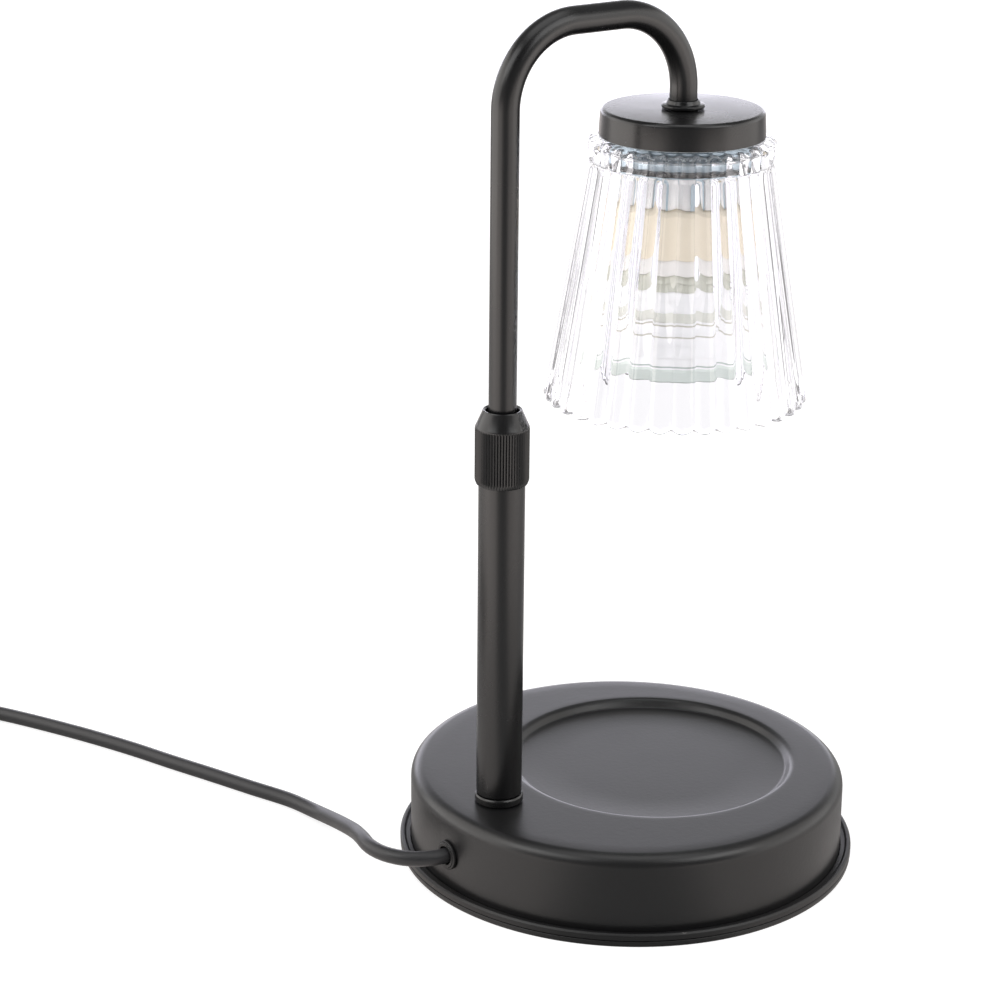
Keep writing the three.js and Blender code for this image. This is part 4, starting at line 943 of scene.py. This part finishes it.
FLUTES, FLUTE_STEPS, FLUTE_DEPTH, SCALLOP = 36, 12, 1.1, 1.3
RIM_R, NECK_R, BEAD_R = 40.5, 28.2, 28.6
glass_profile = [
    (37.4, 148.0, 0, 0.5), (38.5, 147.95, 0.4, 0.8), (39.5, 148.05, 0.85, 1), (40.2, 148.45, 1, 0.9),
    (RIM_R, 149.2, 1, 0.6), (RIM_R - 0.25, 150.6, 1, 0.2),
]
cone_foot = RIM_R - 0.25
glass_profile += [(cone_foot - (cone_foot - NECK_R) * k / 10, 150.6 + 69.6 * k / 10, 1) for k in range(1, 10)]
glass_profile += [
    (NECK_R, 220.5, 1), (28.05, 221.1, 0.9), (27.6, 221.7, 0.7), (27.2, 222.0, 0.5), (27.2, 222.3, 0.5),
    (27.8, 222.45, 0.75), (28.3, 222.8, 1), (28.55, 223.4, 1.1), (BEAD_R, 224.2, 1.15), (BEAD_R, 225.6, 1.15),
    (BEAD_R, 227.0, 1.15), (28.55, 227.8, 1.1), (28.3, 228.4, 1), (27.8, 228.85, 0.8), (27.0, 229.2, 0.4),
    (26.3, 229.5),
    (17.8, 229.5), (17.5, 229.2), (17.5, 227.2), (17.8, 226.9), (24.2, 226.9), (24.9, 226.3), (25.1, 225.6),
]
glass_profile += [(25.1 + 12.0 * k / 8, 225.6 - 76.9 * k / 8) for k in range(1, 8)]
glass_profile += [(37.1, 148.7, 0, 0.2)]
glass_mesh = ribbed("glass_shade_pressed", glass_profile, FLUTES, FLUTE_STEPS, FLUTE_DEPTH, 1, SHADE_X,
                    soda_glass, 60, SCALLOP)
add_piece(glass_mesh, None, "arm", ["glass_shade"])

# %% [markdown]
# ## Dimmer and plug
# The inline dimmer is two moulded shells with a thumb wheel at one side, and a tapered sleeve
# saves the flex where it enters each end. The plug is one soft moulding with grip ribs, a
# tapered tail and two flat brass blades. Rounded rectangles skinned in a stack give the shells
# and the plug, and the wheel and the sleeves are turned.

# %% Mould the dimmer
def rounded_rectangle(length, width, corner, sides=10):
    """Points round a rectangle with rounded corners, in mm."""
    points = []
    for quarter, (sx, sy) in enumerate(((1, 1), (-1, 1), (-1, -1), (1, -1))):
        for k in range(sides + 1):
            angle = math.radians(90 * (quarter + k / sides))
            points.append((
                sx * (length / 2 - corner) + corner * math.cos(angle),
                sy * (width / 2 - corner) + corner * math.sin(angle),
            ))
    return points


DIMMER = (-208, 224.4, 9)
DIMMER_LONG, DIMMER_WIDE, DIMMER_CORNER = 52, 26, 6
WHEEL_Y = DIMMER[1] + 5
SHELL_EDGE = ((8, 8.95), (3, 8.98), (1.8, 9.0), (0.95, 8.75), (0.35, 8.2), (0.05, 7.4), (0, 6.8), (0, 0.4),
              (0.25, 0.15))

for name, node, side in (("dimmer_lower_shell", "dimmer_base", -1),
                         ("dimmer_upper_shell", "dimmer_cover", 1)):
    loops = []
    for inset, z in SHELL_EDGE:
        corner = max(DIMMER_CORNER - inset * 0.6, 2)
        outline = rounded_rectangle(DIMMER_LONG - 2 * inset, DIMMER_WIDE - 2 * inset, corner)
        loops.append([Vector((DIMMER[0] + x, DIMMER[1] + y, DIMMER[2] + side * z)) * MM for x, y in outline])
    wheel_slot = turned("wheel_slot", [(0, 6.5), (11.6, 6.5), (11.6, 11.5), (0, 11.5)],
                        (DIMMER[0], WHEEL_Y), 64)
    flex_bore = turned_on_x("flex_bore", [(0, -40), (4.2, -40), (4.2, 40), (0, 40)], DIMMER)
    add_piece(carved(skinned(name, loops), wheel_slot, flex_bore), spark_abs, "base", [node])

WHEEL_RIBS, WHEEL_RIB_DEPTH = 44, 0.45
wheel_profile = [
    (2.8, 6.8), (9.9, 6.8), (10.6, 6.95, 0.3), (11.0, 7.4, 1), (11.0, 10.6, 1), (10.6, 11.05, 0.3),
    (9.9, 11.2),
    (2.8, 11.2),
]
wheel = ribbed("dimmer_wheel_moulded", wheel_profile, WHEEL_RIBS, 4, WHEEL_RIB_DEPTH, 0.4, DIMMER[0],
               spark_abs, 50, y=WHEEL_Y)
add_piece(wheel, None, "wheel", ["dimmer_wheel"])

# Each sleeve tapers over 20 mm, with shallow grooves that let it bend
relief_outline = [(2.7, 22.5), (5.2, 22.5), (5.2, 23.9), (3.9, 23.9), (3.9, 26.3), (5.0, 26.3)]
for k in range(1, 9):
    out, r = 26.3 + 20 * k / 9, 5.0 - 1.7 * k / 9
    relief_outline += [(r, out - 0.55), (r - 0.45, out - 0.35), (r - 0.45, out + 0.35), (r, out + 0.55)]
relief_outline += [(3.3, 46.1), (3.1, 46.3), (2.7, 46.3)]
for end, facing in (("in", 1), ("out", -1)):
    relief = turned_on_x(f"relief_{end}_moulded", relief_outline, DIMMER, 40, True, facing)
    add_piece(relief, moulded_rubber, "base", [f"dimmer_relief_{end}"])

# %% [markdown]
# The plug's rows run from its face to the tip of its tail. The body is a rounded rectangle with
# five grip ribs, and the tail is round, because its corners are as large as its half height.

# %% Mould the plug
PLUG = (-279, 132, 8)

# Each row is its distance from the tail's tip, half width, half height and corner
plug_rows = [(52, 10.4, 6.2, 3.6), (51.7, 11.3, 7.1, 4.2), (51, 11.8, 7.6, 4.6), (50, 12, 7.8, 5)]
for at in (46 - 3.4 * k for k in range(5)):
    plug_rows += [(at - back, wide, 7.8, 5) for back, wide in ((0, 12), (0.6, 11.5), (1.5, 11.5), (2.1, 12))]
plug_rows += [(27, 11.8, 7.7, 5), (25, 10.8, 7.3, 5), (23.4, 9, 6.6, 5), (22.3, 7.2, 6, 5),
              (21, 5.9, 5.6, 5.3)]
plug_rows += [(19, 5.4, 5.4, 5.4)]
for k in range(4):
    r = 5.3 - 1.5 * k / 4
    plug_rows += [(17.5 - 4 * k - back, *[r - sunk] * 3) for back,
                  sunk in ((0, 0), (0.3, 0.4), (1.1, 0.4), (1.4, 0))]
plug_rows += [(0.6, 3.5, 3.5, 3.5), (0.1, 3.2, 3.2, 3.2)]
plug_loops = []
for at, wide, high, corner in plug_rows:
    outline = rounded_rectangle(2 * wide, 2 * high, min(corner, high - 1e-3, wide - 1e-3))
    plug_loops.append([Vector((PLUG[0] + x, PLUG[1] - at, PLUG[2] + z)) * MM for x, z in outline])
plug_piece = add_piece(skinned("plug_moulded", plug_loops), moulded_pvc, "base",
                       ["plug_body"])

BLADE_OFFSET = 6.35
blade_outline = rounded([(79.7, -3.15), (62.7, -3.15, 2.0), (62.7, 3.15, 2.0), (79.7, 3.15)], cyclic=True,
                        steps=6)
for number, side in ((1, -1), (2, 1)):
    x = PLUG[0] + side * BLADE_OFFSET
    blade = skinned(f"plug_blade_stamped_{number}", [
        [Vector((x + across, y, PLUG[2] + z * squeeze)) * MM for y, z in blade_outline]
        for across, squeeze in ((-0.75, 0.94), (-0.6, 1), (0.6, 1), (0.75, 0.94))
    ])
    hole = turned_on_x("blade_hole", [(0, -2), (1.6, -2), (1.6, 2), (0, 2)], (x, 66.5, PLUG[2]), 32)
    add_piece(carved(blade, hole), turned_brass, "base", [f"plug_blade_{number}"])

# %% [markdown]
# The model's own inner pieces keep their shape. They only need their materials: most are hidden,
# but the plate and the bolt show from below, and the pins and the nut when the lamp is taken apart.

# %% Dress the pieces that stay
natural_nylon = clouded_finish("natural_nylon", {"Base Color": srgb("#d9d6cc"), "Subsurface Weight": 0.1},
                               shine=(4, 3.0, 0.4, 0.6))
sand_cast_iron = clouded_finish("sand_cast_iron",
                                {"Base Color": srgb("#4b4a48"), "Metallic": 0.7, "Roughness": 0.7},
                                grain=(0.9, 5.0, 0.8, 0.3))

# The glass cloth of the board shows through its green lacquer as fine stripes
board_laminate, tree, shade, where = new_material("glass_epoxy_laminate")
cloth = add_node(tree, "TexWave", {"bands_direction": "DIAGONAL", "Scale": per(0.8) / math.tau},
                 {"Vector": where})
tone = add_node(tree, "Mix", {"data_type": "RGBA", "A": srgb("#295539"), "B": srgb("#2f5f40")},
                {"Factor": cloth.outputs["Fac"]})
set_node(tree, shade, {"Roughness": 0.4}, {"Base Color": tone})

stays = {
    zinc_steel: ["base_plate", "dish_boss", "centre_bolt", "post_washer", "post_nut", "threaded_rod",
                 "post_plug",
                 "arm_end_ring", "arm_stop_ring", "arm_nut", "bulb_pin_1", "bulb_pin_2"],
    turned_brass: ["clamp_collet", "terminal_screw_1", "terminal_screw_2"],
    white_porcelain: ["lampholder"],
    natural_nylon: ["guide_bush", "terminal_block"],
    sand_cast_iron: ["ballast_weight"],
    board_laminate: ["dimmer_board"],
}
for material, names in stays.items():
    for name in names:
        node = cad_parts[name]
        node.data.materials.clear()
        node.data.materials.append(material)
print("nodes that stay:", sum(len(names) for names in stays.values()))

# %% [markdown]

# %% [markdown]
# ## Light and floor
# The lamp was lit in a white studio. Low soft lights stand at its two sides and behind it, two
# stand high at its front left and front right, and one hangs above. Between the front lights lies
# a dark gap, so a round tube shows a pale strip down each side and a dark middle.

# %% Light the studio
softboxes = (
    ("left", (-0.42, 0.30, 0.3), 0.12, (0.7, 0.55), 2.0, "#fffaf5"),
    ("right", (0.42, -0.30, 0.3), 0.12, (0.7, 0.55), 1.2, "#fffaf5"),
    ("back", (0.82, 1.54, 0.34), 0.05, (2.0, 0.5), 8.6, "#f1efff"),
    ("front_left", (-0.99, -0.06, 1.02), 0.1, (0.8, 0.7), 4.6, "#ffffff"),
    ("front_right", (0.27, -0.95, 1.02), 0.1, (0.8, 0.7), 4.6, "#ffffff"),
    ("overhead", (0.0, -0.1, 1.7), 0.1, (1.2, 1.2), 6, "#ffffff"),
)
for name, place, aim_z, size, power, hue in softboxes:
    data = bpy.data.lights.new(name + "_softbox", "AREA")
    data.shape = "RECTANGLE"
    data.size, data.size_y = size
    data.energy = power
    data.color = srgb(hue)[:3]
    light = bpy.data.objects.new(name + "_softbox", data)
    bpy.context.scene.collection.objects.link(light)
    light.location = place
    light.rotation_euler = (Vector((0, 0, aim_z)) - Vector(place)).to_track_quat("-Z", "Y").to_euler()
print("lights:", len(softboxes))

# %% [markdown]
# The world is plain white to the camera. It lights the lamp at a lower, even level, and what paint
# and glass mirror in it are walls that darken towards the front and the ceiling. Smooth ramps
# multiplied together can describe such a room, and the floor below needs the same thing.

# %% Paint the walls
WHITE = (1.0, 1.0, 1.0, 1.0)


def faded(tree, strength, fades):
    """A strength, if any, times a smooth ramp for each (source, from, to, value there, value beyond)."""
    for source, start, stop, low, high in fades:
        ramp = add_node(tree, "MapRange", {
            "interpolation_type": "SMOOTHSTEP", "From Min": start, "From Max": stop, "To Min": low,
            "To Max": high,
        }, {"Value": source})
        if strength is None:
            strength = ramp
        else:
            strength = add_node(tree, "Math", {"operation": "MULTIPLY"}, {0: strength, 1: ramp})
    return strength


ROOM_LIGHT, THROUGH_FROM = 0.46, 0.4
world = bpy.data.worlds.new("white_studio")
bpy.context.scene.world = world
world.use_nodes = True
tree = world.node_tree
tree.nodes.clear()
ray = add_node(tree, "LightPath").outputs
facing = add_node(tree, "TexCoord").outputs["Generated"]
height = add_node(tree, "SeparateXYZ", None, {"Vector": facing}).outputs["Z"]
frontward = add_node(tree, "VectorMath", {"operation": "DOT_PRODUCT", 1: (-0.6, -0.8, 0.0)}, {0: facing})
walls = faded(tree, None, [(height, 0.3, 0.55, 1.0, 0.25), (frontward, 0.1, 0.8, 1.0, 0.2)])
unseen = add_node(tree, "Mix", {"data_type": "FLOAT", "A": ROOM_LIGHT},
                  {"Factor": ray["Is Glossy Ray"], "B": walls})
through = add_node(tree, "MapRange", {"To Min": THROUGH_FROM}, {"Value": walls})
bent = add_node(tree, "Mix", {"data_type": "FLOAT"},
                {"Factor": ray["Is Transmission Ray"], "A": unseen, "B": through})
strength = add_node(tree, "Mix", {"data_type": "FLOAT", "B": 1.0},
                    {"Factor": ray["Is Camera Ray"], "A": bent})
glow = add_node(tree, "Background", {"Color": WHITE}, {"Strength": strength})
add_node(tree, "OutputWorld", None, {"Surface": glow})
print("world nodes:", len(tree.nodes))

# %% [markdown]
# Upright paint seen from above mirrors the floor, so the floor glows for mirrored rays only, as
# painted light that stands for pale boards in the studio: bright at the front left and right of the
# lamp, dark straight in front, and dark close to the lamp as a painted shadow of it. The camera sees
# a white floor, and so does what looks through the glass, dimmer in a strip behind the shade and far
# out at the sides, as painted shade that draws the flutes.
# Under it all is matt grey paper, which keeps the lamp's shadow.

# %% Lay the floor
studio_floor, tree, shade, where = new_material("white_studio_floor")
tree.nodes.remove(shade)
ray = add_node(tree, "LightPath").outputs
sideways = add_node(tree, "VectorMath", {"operation": "DOT_PRODUCT", 1: (0.816, -0.578, 0.0)}, {0: where})
offset = add_node(tree, "Math", {"operation": "ABSOLUTE"}, {0: sideways})
away = add_node(tree, "VectorMath", {"operation": "LENGTH"}, {0: where})
bearing = add_node(tree, "VectorMath", {"operation": "NORMALIZE"}, {0: where})
frontward = add_node(tree, "VectorMath", {"operation": "DOT_PRODUCT", 1: (-0.578, -0.816, 0.0)}, {0: bearing})
mirrored = add_node(tree, "Math", {"operation": "SUBTRACT", "use_clamp": True},
                    {0: ray["Is Glossy Ray"], 1: ray["Is Transmission Ray"]})
# The floor's glow for mirrored rays is painted light, and its dip close to the lamp is a painted shadow
mirrored_painted_glow = faded(tree, mirrored, [
    (frontward, 1.0, 0.82, 0.06, 1.0), (frontward, -0.6, 0.6, 0.12, 1.0), (frontward, -0.97, -0.8, 4.0, 1.0),
    (away, 0.15, 0.5, 0.36, 1.0), (sideways, -0.1, 0.1, 2.1, 1.6),
])
through = faded(tree, ray["Is Transmission Ray"], [
    (offset, 0.12, 0.22, 0.84, 1.0), (sideways, -0.9, -0.3, 0.45, 1.0), (sideways, 0.5, 1.2, 1.0, 0.75),
])
seen = add_node(tree, "Math", {"operation": "ADD", "use_clamp": True}, {0: ray["Is Camera Ray"], 1: through})
level = add_node(tree, "MapRange", {"From Min": 0.5, "From Max": 1.2, "To Min": 0.76, "To Max": 1.0},
                 {"Value": away})
lift = add_node(tree, "Math", {"operation": "MULTIPLY_ADD"}, {0: seen, 1: level, 2: mirrored_painted_glow})
hue = add_node(tree, "Mix", {"data_type": "RGBA", "A": WHITE, "B": srgb("#fff4ee")}, {"Factor": mirrored})
paper = add_node(tree, "BsdfDiffuse", {"Color": srgb("#a8a8a8")})
glow = add_node(tree, "Emission", None, {"Color": hue, "Strength": lift})
both = add_node(tree, "AddShader", None, {0: paper, 1: glow})
set_node(tree, tree.nodes["Material Output"], None, {"Surface": both})

floor_mesh = bpy.data.meshes.new("studio_floor")
floor_mesh.from_pydata([(-6, -6, 0), (6, -6, 0), (6, 6, 0), (-6, 6, 0)], [], [(0, 1, 2, 3)])
floor_mesh.materials.append(studio_floor)
floor = bpy.data.objects.new("studio_floor", floor_mesh)
bpy.context.scene.collection.objects.link(floor)

bpy.context.scene.view_settings.view_transform = "Standard"
print("floor nodes:", len(tree.nodes))
